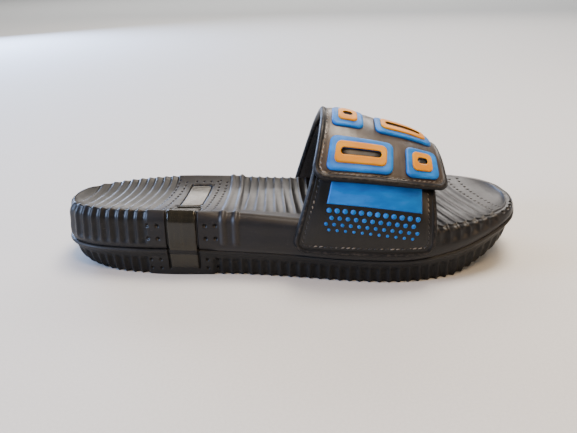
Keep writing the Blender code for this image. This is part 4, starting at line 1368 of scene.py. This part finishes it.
def make_inlay(number, row, yellow):
    """A raised inlay round its slot, soft on both rims."""
    length = pod_place(row).length
    low = POD_SEAT + POD_THICKNESS - SINK
    rim = round_rim(INLAY_RIM, INLAY_THICKNESS + SEAT_GAP, INLAY_RIM_STEPS)
    outer, inner = [], []
    for inset, height in rim:
        inset += INLAY_MARGIN
        loop = rounded_loop(length - 2 * inset, POD_HEIGHT - 2 * inset, POD_TOP_CORNER)
        outer.append(on_pod(row, loop, low + height))
    for inset, height in rim[::-1]:
        grow = INLAY_RIM - inset
        width = SLOT_WIDTH + 2 * grow
        loop = rounded_loop(length * row.slot + 2 * grow, width, width * SLOT_ROUNDNESS)
        inner.append(on_pod(row, loop, low + height))
    between = [outer[-1] * (1 - t) + inner[0] * t for t in (0.2, 0.4, 0.6, 0.8)]
    mesh = ring_mesh(f"pod_inlay_{number}_moulded", outer + between + inner, True)
    made = scene_object(f"pod_inlay_{number}_moulded", mesh, yellow)
    return finish_piece(made, "inlay_yellow", f"pod_inlay_{number}")


def make_slot_floor(number, row, leather):
    """The strip of strap leather that shows in the slot of an inlay."""
    slot_length = pod_place(row).length * row.slot * SLOT_FLOOR_LONGER
    top = POD_SEAT + POD_THICKNESS
    loops = []
    for shrink, rise in SLOT_FLOOR:
        width = SLOT_WIDTH * SLOT_FLOOR_WIDER * shrink
        loop = rounded_loop(slot_length * shrink, width, width * SLOT_ROUNDNESS)
        loops.append(on_pod(row, loop, top + rise))
    ends = (0, len(loops) - 1)
    middles = [(end, on_pod(row, np.zeros((1, 2)), top + SLOT_FLOOR[end][1])) for end in ends]
    mesh = ring_mesh(f"pod_slot_{number}_leather", loops, False, middles)
    made = scene_object(f"pod_slot_{number}_leather", mesh, leather)
    return finish_piece(made, "strap_leather")


def motif_across(shares):
    """Places across the lateral half of shares of the moulded band's length."""
    return MOTIF_START + (MOTIF_END - MOTIF_START) * shares


def below_flap(across):
    """Girths of the lateral half, and girth shares at which the flap's free edge lies on it."""
    x = strap_x(LATERAL_FRONT_EDGE, across, np.full(len(across), MOTIF_LEVEL))
    edge = share_at_height(x, flap_edge_height(across), STRAP_THICKNESS + SEAT_GAP)
    return strap_sections(x, 0.0 * x)[3], edge


def make_motif(blue):
    """The moulded band on the lateral half, soft on its rims."""
    rise = MOTIF_THICKNESS + SEAT_GAP + SINK
    across = motif_across(edge_steps(MOTIF_LENGTH, MOTIF_RIM, MOTIF_RIM))
    length, edge = below_flap(across)
    top = edge + MOTIF_TUCK / length
    foot = top - (MOTIF_TUCK + MOTIF_HEIGHT) / length
    low, high = [], []
    for share in edge_steps(MOTIF_TUCK + MOTIF_HEIGHT, MOTIF_RIM, MOTIF_RIM):
        shares = foot + (top - foot) * share
        low.append(lateral_surface(across, shares, STRAP_THICKNESS - MOTIF_SINK))
        high.append(lateral_surface(across, shares, STRAP_THICKNESS + rise))
    low, high = np.array(low), np.array(high)
    outer = low + (high - low) * rounded(border_distance(low), MOTIF_ROUND)
    made = closed_sheet("lateral_motif_moulded", outer, low, blue)
    return finish_piece(made, "pod_blue", "lateral_motif")


# Node helpers for materials and node trees
def linear(code):
    """Linear colour of an sRGB hex code."""
    values = [int(code[k : k + 2], 16) / 255 for k in (1, 3, 5)]
    return [v / 12.92 if v <= 0.04045 else ((v + 0.055) / 1.055) ** 2.4 for v in values] + [1.0]


def add_node(tree, kind, inputs=None, **settings):
    """Node of a kind with its settings. Inputs are values, hex colours or sockets to link from."""
    made = tree.nodes.new(kind)
    for key, value in settings.items():
        setattr(made, key, value)
    for key, value in (inputs or {}).items():
        if isinstance(value, bpy.types.NodeSocket):
            tree.links.new(value, made.inputs[key])
        elif isinstance(value, str) and value.startswith("#"):
            made.inputs[key].default_value = linear(value)
        else:
            made.inputs[key].default_value = value
    return made


def object_coordinates(tree, scale=(1.0, 1.0, 1.0)):
    """Object coordinates in metres, stretched where a pattern runs one way."""
    place = add_node(tree, "ShaderNodeTexCoord").outputs["Object"]
    if scale == (1.0, 1.0, 1.0):
        return place
    return add_node(tree, "ShaderNodeMapping", {"Vector": place, "Scale": scale}).outputs[0]


def noise(tree, place, size_mm, detail=3.0, rough=0.5, low=0.3, high=0.7):
    """Noise with features of this size, spread over 0 to 1."""
    inputs = {"Vector": place, "Scale": 1000.0 / size_mm, "Detail": detail, "Roughness": rough}
    made = add_node(tree, "ShaderNodeTexNoise", inputs)
    return remap(tree, made.outputs["Fac"], low, high)


def cells(tree, place, size_mm, feature="F1"):
    """Distance from the nearest of points that stand about this far apart."""
    inputs = {"Vector": place, "Scale": 1000.0 / size_mm}
    made = add_node(tree, "ShaderNodeTexVoronoi", inputs, feature=feature)
    return made.outputs["Distance"]


def remap(tree, value, low, high, out_low=0.0, out_high=1.0):
    """Value spread from low and high to another pair of ends, held between them."""
    inputs = {
        "Value": value,
        "From Min": low,
        "From Max": high,
        "To Min": out_low,
        "To Max": out_high,
    }
    return add_node(tree, "ShaderNodeMapRange", inputs).outputs["Result"]


def maths(tree, operation, first, second):
    return add_node(tree, "ShaderNodeMath", {0: first, 1: second}, operation=operation).outputs[0]


def weighted(tree, *pairs):
    """Sum of sockets, each times its weight."""
    total = None
    for socket, weight in pairs:
        part = maths(tree, "MULTIPLY", socket, weight)
        total = part if total is None else maths(tree, "ADD", total, part)
    return total


def blend(tree, factor, first, second):
    """Colour between two, which are hex codes or sockets."""
    inputs = {"Factor": factor, 6: first, 7: second}
    made = add_node(tree, "ShaderNodeMix", inputs, data_type="RGBA")
    return made.outputs[2]


def attribute(tree, name):
    return add_node(tree, "ShaderNodeAttribute", attribute_name=name).outputs["Fac"]


def bump(tree, height, depth_mm, strength=1.0, under=None):
    """Bump of a height of 0 to 1 that stands for this depth."""
    inputs = {"Height": height, "Distance": depth_mm * MM, "Strength": strength}
    if under:
        inputs["Normal"] = under
    return add_node(tree, "ShaderNodeBump", inputs).outputs["Normal"]


def new_material(name, **constants):
    """Material whose shader has these constant values, with its tree and its shader."""
    made = bpy.data.materials.new(name)
    made.use_nodes = True
    tree = made.node_tree
    shader = tree.nodes["Principled BSDF"]
    for key, value in constants.items():
        shader.inputs[key.replace("_", " ")].default_value = value
    return made, tree, shader


def connect(tree, shader, colour, roughness, normal):
    tree.links.new(colour, shader.inputs["Base Color"])
    tree.links.new(roughness, shader.inputs["Roughness"])
    tree.links.new(normal, shader.inputs["Normal"])


# Finishes
def moulded_foam(name, dark, light, dust, smooth, rough, dust_amount, gloss):
    """Injection-moulded foam: closed satin skin with a fine grain, pits and hair scratches.

    The crests are worn lighter; the valleys are painted darker as shade and keep dust. Grain and
    pits are drawn coarser than on the real skin, so that they show.
    """
    made, tree, shader = new_material(name, IOR=1.49, Specular_IOR_Level=gloss)
    place = object_coordinates(tree)
    drift = noise(tree, place, 26.0, 4.0)
    grain = noise(tree, place, 0.55, 3.0, 0.6)
    pits = remap(tree, cells(tree, place, 0.9), 0.05, 0.25)
    streaked = object_coordinates(tree, (0.35, 1.0, 1.0))
    scratches = noise(tree, streaked, 1.1, 5.0, 0.7, 0.60, 0.72)
    patches = noise(tree, place, 11.0, 3.0, 0.5, 0.45, 0.70)
    worn = maths(tree, "MULTIPLY", scratches, patches)
    sunk = attribute(tree, "sunk_mm")
    valley = remap(tree, sunk, 0.25, 1.1)
    crest = remap(tree, sunk, 0.20, -0.4)
    colour = blend(tree, drift, dark, light)
    # painted shade: the colour is drawn towards the dark tone in the valleys and dimples, darker
    # where the relief is deeper
    colour = blend(tree, maths(tree, "MULTIPLY", valley, 0.55), colour, dark)
    colour = blend(tree, weighted(tree, (crest, 0.10), (worn, 0.35)), colour, "#6a6663")
    speckle = noise(tree, place, 1.6, 4.0, 0.7, 0.60, 0.75)
    dusty = maths(tree, "MULTIPLY", speckle, weighted(tree, (valley, dust_amount), (patches, 0.1)))
    colour = blend(tree, dusty, colour, dust)
    roughness = weighted(tree, (drift, rough - smooth), (worn, 0.18), (dusty, 0.35))
    roughness = maths(tree, "ADD", roughness, smooth)
    height = weighted(tree, (grain, 0.55), (pits, 0.30), (worn, -0.30))
    fine = bump(tree, height, 0.05, 0.55)
    wave = bump(tree, noise(tree, place, 14.0, 2.0), 0.25, 0.5, fine)
    connect(tree, shader, colour, roughness, wave)
    return made


def smoky_plastic():
    """Smoke-tinted clear plastic, moulded: dark and nearly a mirror, with soft flow streaks."""
    made, tree, shader = new_material(
        "arch_band_smoky_plastic", IOR=1.50, Specular_IOR_Level=0.35, Coat_Weight=0.1
    )
    place = object_coordinates(tree)
    drawn = object_coordinates(tree, (1.0, 0.12, 0.12))
    streaks = noise(tree, drawn, 2.4, 4.0, 0.6)
    clouds = noise(tree, place, 12.0, 3.0)
    colour = blend(tree, clouds, "#0d0d09", "#1b1810")
    colour = blend(tree, maths(tree, "MULTIPLY", streaks, 0.4), colour, "#2f2a1e")
    scuffs = noise(tree, place, 0.9, 4.0, 0.7, 0.62, 0.72)
    roughness = weighted(tree, (streaks, 0.08), (scuffs, 0.22), (clouds, 0.06))
    roughness = maths(tree, "ADD", roughness, 0.10)
    height = weighted(tree, (clouds, 0.8), (streaks, 0.3), (scuffs, 0.05))
    connect(tree, shader, colour, roughness, bump(tree, height, 0.18, 0.5))
    return made


def metallic_film():
    """Satin metallic film laid on a plate: warm, brushed across and a little creased.

    The brushing is drawn coarser than a real one, so that it shows.
    """
    made, tree, shader = new_material(
        "plate_satin_film", IOR=1.50, Metallic=0.35, Coat_Weight=0.1, Coat_Roughness=0.12
    )
    place = object_coordinates(tree)
    brushed = noise(tree, object_coordinates(tree, (1.0, 0.05, 1.0)), 0.35, 2.0)
    creases = noise(tree, place, 6.0, 3.0, 0.55)
    worn = noise(tree, place, 1.3, 4.0, 0.7, 0.58, 0.70)
    colour = blend(tree, creases, "#2b271f", "#403a2d")
    colour = blend(tree, maths(tree, "MULTIPLY", worn, 0.5), colour, "#2f2b23")
    roughness = weighted(tree, (brushed, 0.10), (worn, 0.20), (creases, 0.08))
    roughness = maths(tree, "ADD", roughness, 0.24)
    height = weighted(tree, (creases, 1.0), (brushed, 0.04))
    connect(tree, shader, colour, roughness, bump(tree, height, 0.22, 0.6))
    return made


def coated_leather(name, dark, light, smooth, gloss):
    """Polyurethane-coated leather: fine pebble grain, long soft wrinkles round the foot, waxy coat.

    The rolled binding at the edge is smoother, worn paler on its crown, where the paler line is also
    a painted highlight, and dark at its seam. The pores are drawn coarser than real ones, so that
    they show.
    """
    made, tree, shader = new_material(
        name, IOR=1.50, Specular_IOR_Level=gloss, Coat_Weight=0.15, Coat_Roughness=0.30
    )
    place = object_coordinates(tree)
    pebbles = remap(tree, cells(tree, place, 0.75), 0.0, 0.6)
    pores = noise(tree, place, 0.35, 2.0, 0.6)
    girth = object_coordinates(tree, (1.0, 0.16, 0.16))
    wrinkles = noise(tree, girth, 3.6, 4.0, 0.6)
    swells = noise(tree, place, 18.0, 2.0)
    edge = attribute(tree, "edge_mm")
    binding = remap(tree, edge, 3.2, 2.9)
    crown = maths(tree, "MULTIPLY", remap(tree, edge, 0.4, 1.4), remap(tree, edge, 2.8, 1.8))
    seam = maths(tree, "MULTIPLY", remap(tree, edge, 2.8, 3.1), remap(tree, edge, 3.5, 3.2))
    crown_wear_and_highlight = maths(tree, "MULTIPLY", crown, noise(tree, place, 2.2, 4.0, 0.65, 0.45, 0.70))
    colour = blend(tree, weighted(tree, (swells, 0.6), (wrinkles, 0.4)), dark, light)
    colour = blend(tree, maths(tree, "MULTIPLY", binding, 0.92), colour, "#060608")
    # partly wear and partly painted highlight: the binding's crown is drawn paler in patches along
    # the edge
    colour = blend(tree, weighted(tree, (crown_wear_and_highlight, 0.35)), colour, "#5f564e")
    colour = blend(tree, maths(tree, "MULTIPLY", seam, 0.8), colour, "#070606")
    roughness = weighted(tree, (wrinkles, 0.16), (pores, 0.06), (binding, 0.10), (crown_wear_and_highlight, 0.06))
    roughness = maths(tree, "ADD", roughness, smooth)
    fine = bump(tree, weighted(tree, (pebbles, 0.7), (pores, 0.3)), 0.045, 0.5)
    soft = weighted(tree, (wrinkles, 0.5), (swells, 0.9))
    coarse = bump(tree, soft, 0.30, 0.45, fine)
    cord = bump(tree, maths(tree, "MULTIPLY", seam, -1.0), 0.25, 0.8, coarse)
    connect(tree, shader, colour, roughness, cord)
    return made


def fleece_lining():
    """Brushed knit lining: matt, fuzzy and slightly pilled. The fuzz is coarser than real fibres."""
    made, tree, shader = new_material(
        "strap_brushed_lining", Sheen_Weight=0.35, Sheen_Roughness=0.6, Specular_IOR_Level=0.25
    )
    place = object_coordinates(tree)
    fuzz = noise(tree, place, 0.5, 5.0, 0.75)
    pills = noise(tree, place, 3.2, 3.0, 0.6)
    colour = blend(tree, weighted(tree, (fuzz, 0.5), (pills, 0.5)), "#0e0e10", "#232325")
    roughness = remap(tree, fuzz, 0.0, 1.0, 0.85, 1.0)
    height = weighted(tree, (fuzz, 0.7), (pills, 0.6))
    connect(tree, shader, colour, roughness, bump(tree, height, 0.35, 0.8))
    return made


def moulded_rubber(name, deep, bright, grime):
    """Moulded soft rubber with a satin skin, flow marks and a little grime in its scuffs."""
    made, tree, shader = new_material(
        name, IOR=1.45, Specular_IOR_Level=0.22, Subsurface_Weight=0.03
    )
    shader.inputs["Subsurface Radius"].default_value = (0.002, 0.001, 0.0005)
    place = object_coordinates(tree)
    flow = noise(tree, object_coordinates(tree, (0.4, 1.0, 1.0)), 7.0, 3.0)
    grain = noise(tree, place, 0.4, 2.0)
    marks = noise(tree, place, 1.2, 5.0, 0.7, 0.62, 0.74)
    colour = blend(tree, flow, deep, bright)
    colour = blend(tree, maths(tree, "MULTIPLY", marks, 0.35), colour, grime)
    roughness = weighted(tree, (flow, 0.08), (marks, 0.20), (grain, 0.05))
    roughness = maths(tree, "ADD", roughness, 0.36)
    height = weighted(tree, (grain, 0.3), (flow, 0.8), (marks, -0.15))
    connect(tree, shader, colour, roughness, bump(tree, height, 0.10, 0.5))
    return made


def spun_thread():
    """Twisted polyester thread of the stitches, black, with patches painted pale as glints."""
    made, tree, shader = new_material("stitch_thread", IOR=1.53, Sheen_Weight=0.1)
    place = object_coordinates(tree)
    twist = noise(tree, place, 0.25, 2.0)
    drift = noise(tree, place, 9.0, 2.0)
    # painted highlight: stitches in some patches are drawn pale as glints on the black thread
    colour = blend(tree, remap(tree, drift, 0.46, 0.58), "#070708", "#6f675d")
    roughness = remap(tree, twist, 0.0, 1.0, 0.32, 0.50)
    connect(tree, shader, colour, roughness, bump(tree, twist, 0.05, 0.8))
    return made


def floor_paper():
    """Pale matt paper of the studio floor, with a faint fibre."""
    made, tree, shader = new_material("floor_pale_paper")
    fibres = noise(tree, object_coordinates(tree), 1.5, 3.0)
    colour = blend(tree, fibres, "#bcbcba", "#c2c2c0")
    roughness = remap(tree, fibres, 0.0, 1.0, 0.88, 0.95)
    connect(tree, shader, colour, roughness, bump(tree, fibres, 0.02, 0.2))
    return made


# Node trees that set small pieces along a surface
def node_group(name, *inputs):
    """Geometry node tree with a geometry input and these named numbers."""
    tree = bpy.data.node_groups.new(name, "GeometryNodeTree")
    tree.interface.new_socket("Geometry", in_out="INPUT", socket_type="NodeSocketGeometry")
    tree.interface.new_socket("Geometry", in_out="OUTPUT", socket_type="NodeSocketGeometry")
    for label in inputs:
        tree.interface.new_socket(label, in_out="INPUT", socket_type="NodeSocketFloat")
    return tree, add_node(tree, "NodeGroupInput"), add_node(tree, "NodeGroupOutput")


def apply_group(made, tree, **values):
    """Runs a node tree on an object and keeps the result as its plain mesh."""
    modifier = made.modifiers.new(tree.name, "NODES")
    modifier.node_group = tree
    for item in tree.interface.items_tree:
        if item.in_out == "INPUT" and item.name in values:
            modifier[item.identifier] = values[item.name]
    made.update_tag()
    graph = bpy.context.evaluated_depsgraph_get()
    mesh = bpy.data.meshes.new_from_object(made.evaluated_get(graph))
    made.modifiers.remove(modifier)
    made.data = mesh
    return made


def facing(tree, direction, tangent=None):
    """Rotation that stands Z along a direction and, if given, X along a tangent."""
    turn = add_node(tree, "FunctionNodeAlignRotationToVector", {"Vector": direction}, axis="Z")
    if tangent is None:
        return turn.outputs[0]
    inputs = {"Rotation": turn.outputs[0], "Vector": tangent}
    return add_node(
        tree, "FunctionNodeAlignRotationToVector", inputs, axis="X", pivot_axis="Z"
    ).outputs[0]


def point_attribute(tree, name, kind):
    inputs = {"Name": name}
    made = add_node(tree, "GeometryNodeInputNamedAttribute", inputs, data_type=kind)
    return made.outputs["Attribute"]


def balls_on_points(tree, points, facets, rotation, size):
    """A ball on every point, turned and stretched."""
    inputs = {"Segments": facets[0], "Rings": facets[1], "Radius": 0.5}
    ball = add_node(tree, "GeometryNodeMeshUVSphere", inputs).outputs["Mesh"]
    inputs = {"Points": points, "Instance": ball, "Rotation": rotation, "Scale": size}
    return add_node(tree, "GeometryNodeInstanceOnPoints", inputs).outputs[0]


def stitch_group(material):
    """A row of slanted thread stitches along each line of the mesh."""
    tree, given, result = node_group("stitches", "Spacing", "Length", "Width", "Height", "Slant")
    given = given.outputs
    way_out = point_attribute(tree, "out", "FLOAT_VECTOR")
    line = add_node(tree, "GeometryNodeMeshToCurve", {"Mesh": given["Geometry"]}).outputs[0]
    inputs = {"Curve": line, "Length": given["Spacing"]}
    even = add_node(tree, "GeometryNodeResampleCurve", inputs, mode="LENGTH").outputs[0]
    points = add_node(tree, "GeometryNodeCurveToPoints", {"Curve": even}, mode="EVALUATED")
    turn = facing(tree, way_out, points.outputs["Tangent"])
    inputs = {"Seed": 7, 2: -STITCH_JITTER, 3: STITCH_JITTER}
    jitter = add_node(tree, "FunctionNodeRandomValue", inputs, data_type="FLOAT").outputs[1]
    angle = maths(tree, "ADD", given["Slant"], jitter)
    twist = add_node(tree, "ShaderNodeCombineXYZ", {"Z": angle}).outputs[0]
    inputs = {"Rotation": turn, "Rotate By": twist}
    turned = add_node(tree, "FunctionNodeRotateRotation", inputs, rotation_space="LOCAL").outputs[0]
    inputs = {"X": given["Length"], "Y": given["Width"], "Z": given["Height"]}
    size = add_node(tree, "ShaderNodeCombineXYZ", inputs).outputs[0]
    placed = balls_on_points(tree, points.outputs["Points"], STITCH_FACETS, turned, size)
    finish_group(tree, placed, result, material)
    return tree


def stud_group(material):
    """A round dome on every point of the mesh, as wide as the point's own size says."""
    tree, given, result = node_group("studs", "Height")
    given = given.outputs
    width = point_attribute(tree, "width", "FLOAT")
    tall = maths(tree, "MULTIPLY", width, given["Height"])
    size = add_node(tree, "ShaderNodeCombineXYZ", {"X": width, "Y": width, "Z": tall}).outputs[0]
    turned = facing(tree, point_attribute(tree, "out", "FLOAT_VECTOR"))
    placed = balls_on_points(tree, given["Geometry"], STUD_FACETS, turned, size)
    finish_group(tree, placed, result, material)
    return tree


def finish_group(tree, instances, result, material):
    """Makes the instances real, smooth and of one material."""
    real = add_node(tree, "GeometryNodeRealizeInstances", {"Geometry": instances})
    smooth = add_node(tree, "GeometryNodeSetShadeSmooth", {0: real.outputs[0]})
    dressed = add_node(tree, "GeometryNodeSetMaterial", {"Geometry": smooth.outputs[0]})
    dressed.inputs["Material"].default_value = material
    tree.links.new(dressed.outputs[0], result.inputs[0])


def point_mesh(name, spots, ways, edges=(), **values):
    """Loose points or lines that carry the way out of the surface."""
    spots = spots + [0.0, SHIFT, 0.0]
    mesh = bpy.data.meshes.new(name)
    mesh.from_pydata(spots.tolist(), list(edges), [])
    out = mesh.attributes.new("out", "FLOAT_VECTOR", "POINT")
    out.data.foreach_set("vector", np.asarray(ways, dtype=float).ravel())
    for key, numbers in values.items():
        layer = mesh.attributes.new(key, "FLOAT", "POINT")
        layer.data.foreach_set("value", numbers)
    return link_object(name, mesh)


def make_stitches(name, outer, normal, inset, group):
    """The stitches along a line at an inset from the edge of a strap half."""
    spots, ways = stitch_path(outer, normal, inset)
    count = len(spots)
    edges = [(k, (k + 1) % count) for k in range(count)]
    made = point_mesh(name, spots + ways * STITCH_LIFT, ways, edges)
    apply_group(made, group, Spacing=STITCH_SPACING, Length=STITCH_LENGTH, Width=STITCH_WIDTH,
                Height=STITCH_HEIGHT, Slant=STITCH_SLANT)
    return finish_piece(made, "strap_leather")


def make_strap(node, grids, thickness, inset, materials, group):
    """A padded strap half with its lining, its binding and its stitches."""
    mesh, outer, normal = padded_sheet(f"{node}_leather", *grids, thickness, inset)
    made = scene_object(f"{node}_leather", mesh, *materials)
    finish_piece(made, "strap_leather", node)
    make_stitches(f"{node}_stitches", outer, normal, inset, group)


def make_studs(group):
    """Rows of studs under the lateral band, smaller from row to row."""
    spots, ways, widths = [], [], []
    for row, (below, width) in enumerate(STUD_ROWS):
        indent = row % 2
        count = STUDS_IN_ROW - indent
        across = motif_across((np.arange(count) + 0.5 + 0.5 * indent) / STUDS_IN_ROW)
        length, edge = below_flap(across)
        share = edge - (MOTIF_HEIGHT + below) / length
        low = lateral_surface(across, share, STRAP_THICKNESS)
        way = (lateral_surface(across, share, STRAP_THICKNESS + MM) - low) / MM
        spots.append(low + way * STUD_LIFT)
        ways.append(way)
        widths += [width] * count
    made = point_mesh("lateral_studs_moulded", np.vstack(spots), np.vstack(ways), width=widths)
    apply_group(made, group, Height=STUD_HEIGHT)
    return finish_piece(made, "pod_blue")


# Arch band, the bar at its inner end, and the plate: rims, steps and where their columns lie as
# shares of the way over the bed
BAND_PROUD = 0.0003
BAND_RIM = 0.0009
BAND_RIM_DROP = 0.9
BAND_SAMPLES = 33
BAND_STEPS = 5
BAND_SHARES = (0.0, 0.04, 0.10, 0.18, BAND_INNER_REACH)
BAR_STEPS = 6
BAR_SHARES = (0.300, 0.318, 0.336)
PLATE_RIM = 0.0005
PLATE_RIM_STEPS = 6
PLATE_INSETS = (0.0015, 0.0030, 0.0045, 0.0060)
PLATE_CORE_CORNER = 0.0004


def band_stations():
    """Places across the band, closer together at its edges."""
    return BAND_MIDDLE - BAND_WIDTH / 2 * np.cos(np.linspace(0, math.pi, BAND_SAMPLES))


def raised_sheet(name, columns, steps, foot, material):
    """Thin moulding laid over the sole between columns of points, its rims rounded off."""
    made, _ = through(columns, list(range(len(columns))), [steps] * (len(columns) - 1))
    grid = np.stack(made, 0)
    centre = grid.shape[1] // 2
    grid = grid[np.flatnonzero(grid[:, centre, 2] > foot)[0] :]
    normal = np.cross(np.gradient(grid, axis=1), np.gradient(grid, axis=0))
    normal /= np.linalg.norm(normal, axis=2, keepdims=True)
    if normal[2, centre, 2] < normal[2, centre, 1]:
        normal = -normal
    rise = BAND_PROUD - BAND_RIM * BAND_RIM_DROP * (1 - rounded(border_distance(grid), BAND_RIM))
    outer = grid + normal * rise
    inner = grid - normal * (BAND_THICKNESS - SINK)
    return closed_sheet(name, outer, inner, material)


def make_band(material):
    """The arch band, from the lower wall over the rim onto the bed."""
    x = band_stations()
    low = [row for row in LOWER_WALL if row.rise < LIP_START]
    lower = lower_wall(x, -1)[: len(low)]
    upper = upper_wall(x, -1)[1:-1]
    columns = lower + upper + footbed(x, BAND_SHARES)
    made = raised_sheet("arch_band_plastic", columns, BAND_STEPS, BAND_FOOT_HEIGHT, material)
    return finish_piece(made, "band_plastic", "arch_band")


def make_band_bar(material):
    """The narrow bar between the band's inner end and the plate."""
    columns = footbed(band_stations(), BAR_SHARES)
    made = raised_sheet("arch_band_bar_plastic", columns, BAR_STEPS, 0.0, material)
    return finish_piece(made, "band_plastic")


def bed_height(across):
    """Height of the footbed at these places across the sole, along the plate's own station."""
    near_side = float(half_width(np.array([PLATE_MIDDLE]), -1)[0])
    line = bed_line(PLATE_MIDDLE + PLATE_LEAN * (PLATE_ACROSS + near_side))
    return np.interp(across, line[:, 1], line[:, 2])


def laid_on_bed(loop, height):
    """A flat loop laid along the bed at the plate's place, leaning as the ribs do there."""
    across = PLATE_ACROSS + loop[:, 0]
    px = PLATE_MIDDLE + loop[:, 1] - PLATE_LEAN * loop[:, 0]
    return np.column_stack([px, across, bed_height(across) - PLATE_DEPTH + height])


def make_plate(material):
    """The window plate: a thin slab with soft rims."""
    shapes = [(inset, rise - PLATE_RIM)
              for inset, rise in round_rim(PLATE_RIM, PLATE_RIM, PLATE_RIM_STEPS)]
    shapes += [(inset, 0.0) for inset in PLATE_INSETS]
    loops = []
    for inset, height in shapes:
        corner = max(PLATE_CORNER - inset, PLATE_CORE_CORNER)
        loop = rounded_loop(PLATE_LENGTH - 2 * inset, PLATE_WIDTH - 2 * inset, corner)
        loops.append(laid_on_bed(loop, height))
    spine = loops[-1].copy()
    spine[:, 0] = PLATE_MIDDLE - PLATE_LEAN * loop[:, 0]
    loops.append(spine)
    mesh = ring_mesh("footbed_plate_film", loops)
    made = scene_object("footbed_plate_film", mesh, material, angle=60)
    return finish_piece(made, "plate_foil", "footbed_plate")


# Materials
foam = moulded_foam(
    "footbed_moulded_foam", "#08080a", "#121114", "#5f5a56",
    smooth=0.34, rough=0.48, dust_amount=0.20, gloss=0.30,
)
# The outsole is the same foam as the footbed in darker tones: painted shade on the lower wall and
# the tread.
outsole_foam = moulded_foam(
    "outsole_foam_painted_shade", "#040405", "#09090a", "#57524c",
    smooth=0.44, rough=0.58, dust_amount=0.20, gloss=0.27,
)
band_plastic = smoky_plastic()
plate_foil = metallic_film()
# One coated leather in two tones: the flap's warm brown, also used in the slots, is painted sheen
# and the lateral half's near black is painted shade.
painted_sheen_flap_coat = coated_leather("flap_coat_painted_sheen", "#261e17", "#3a2e23", smooth=0.30, gloss=0.42)
painted_shade_side_coat = coated_leather("side_coat_painted_shade", "#060505", "#0c0a0a", smooth=0.31, gloss=0.29)
binding = coated_leather("edge_binding_tape", "#020203", "#060609", smooth=0.40, gloss=0.16)
lining = fleece_lining()
blue = moulded_rubber("pod_blue_rubber", "#07519c", "#1a75c9", "#0d3c60")
yellow = moulded_rubber("inlay_yellow_rubber", "#b87000", "#c88800", "#7a530a")
thread = spun_thread()

# Pieces of the sole
make_midsole(foam)
make_outsole(outsole_foam)
make_band(band_plastic)
make_band_bar(band_plastic)
make_plate(plate_foil)

# Strap halves with their stitches
stitches = stitch_group(thread)
flap_materials = (painted_sheen_flap_coat, lining, binding)
side_materials = (painted_shade_side_coat, lining, binding)
make_strap("strap_flap", flap_grid(), FLAP_THICKNESS, FLAP_STITCH_INSET, flap_materials, stitches)
make_strap(
    "strap_lateral", lateral_grid(), STRAP_THICKNESS, SIDE_STITCH_INSET, side_materials, stitches
)

# Moulded decoration
for number, row in enumerate(PODS, 1):
    make_pod(number, row, blue)
    make_inlay(number, row, yellow)
    make_slot_floor(number, row, painted_sheen_flap_coat)
make_motif(blue)
make_studs(stud_group(blue))


# Camera, floor and lights. The lens is in millimetres on a sensor of 36 mm.
CAMERA_LENS = 38.42
CAMERA_SHIFT_UP = -0.0009
CAMERA_AT = Vector((0.0054, -0.3690, 0.1757))
CAMERA_TILT = math.radians(22.58)
CAMERA_TURN = math.radians(-0.96)
CAMERA_ROLL = math.radians(-1.54)


def set_camera():
    """Camera at the photograph's place, from its tilt, turn and roll."""
    data = bpy.data.cameras.new("camera")
    data.sensor_width = 36.0
    data.lens = CAMERA_LENS
    data.shift_y = CAMERA_SHIFT_UP
    camera = link_object("camera", data)
    forward = Vector((
        math.sin(CAMERA_TURN) * math.cos(CAMERA_TILT),
        math.cos(CAMERA_TURN) * math.cos(CAMERA_TILT),
        -math.sin(CAMERA_TILT),
    ))
    level = Vector((math.cos(CAMERA_TURN), -math.sin(CAMERA_TURN), 0.0))
    top = level.cross(forward)
    right = level * math.cos(CAMERA_ROLL) + top * math.sin(CAMERA_ROLL)
    above = top * math.cos(CAMERA_ROLL) - level * math.sin(CAMERA_ROLL)
    turn = Matrix((right, above, -forward)).transposed().to_4x4()
    camera.matrix_world = Matrix.Translation(CAMERA_AT) @ turn
    bpy.context.scene.camera = camera


def area_light(name, place, target, size, power, code, height=None):
    """Soft light of a size in metres and a power in watts, turned to its target."""
    data = bpy.data.lights.new(name, "AREA")
    data.energy = power
    data.color = linear(code)[:3]
    data.size = size
    if height:
        data.shape = "RECTANGLE"
        data.size_y = height
    made = link_object(name, data)
    made.location = place
    aim = Vector(target) - Vector(place)
    made.rotation_euler = aim.to_track_quat("-Z", "Y").to_euler()


set_camera()
area_light("overhead", (0.22, 0.20, 1.2), (0.04, 0, 0.03), 0.5, 24.0, "#fff0de")
area_light("warm_key", (0.15, -0.50, 1.05), (0.02, 0, 0.03), 0.35, 8.0, "#ffd9ab")
area_light("toe_side", (1.1, -0.6, 0.50), (0.08, 0, 0.04), 0.4, 4.0, "#ffd9ae")
area_light("behind", (0.2, 1.5, 0.80), (0, 0, 0.03), 1.6, 15.0, "#fff4ea", 0.45)
area_light("behind_heel", (-0.95, 1.2, 0.34), (-0.08, 0, 0.03), 0.7, 36.0, "#b4ceff", 0.35)
area_light("heel_side", (-1.3, -0.35, 0.5), (-0.05, 0, 0.03), 0.5, 30.0, "#b9d2ff")
area_light("front_fill", (0.2, -1.5, 0.7), (0, 0, 0.03), 1.0, 1.5, "#ffe9d0")
area_light("far_floor", (0, 2.7, 1.5), (0, 2.7, 0), 3.0, 60.0, "#ffffff", 1.6)

world = bpy.data.worlds.new("studio")
world.use_nodes = True
background = world.node_tree.nodes["Background"]
background.inputs["Color"].default_value = linear("#ffffff")
background.inputs["Strength"].default_value = 0.25
bpy.context.scene.world = world

floor_mesh = bpy.data.meshes.new("floor")
floor_mesh.from_pydata([(-4, -4, 0), (4, -4, 0), (4, 4, 0), (-4, 4, 0)], [], [(0, 1, 2, 3)])
floor = scene_object("floor", floor_mesh, floor_paper())
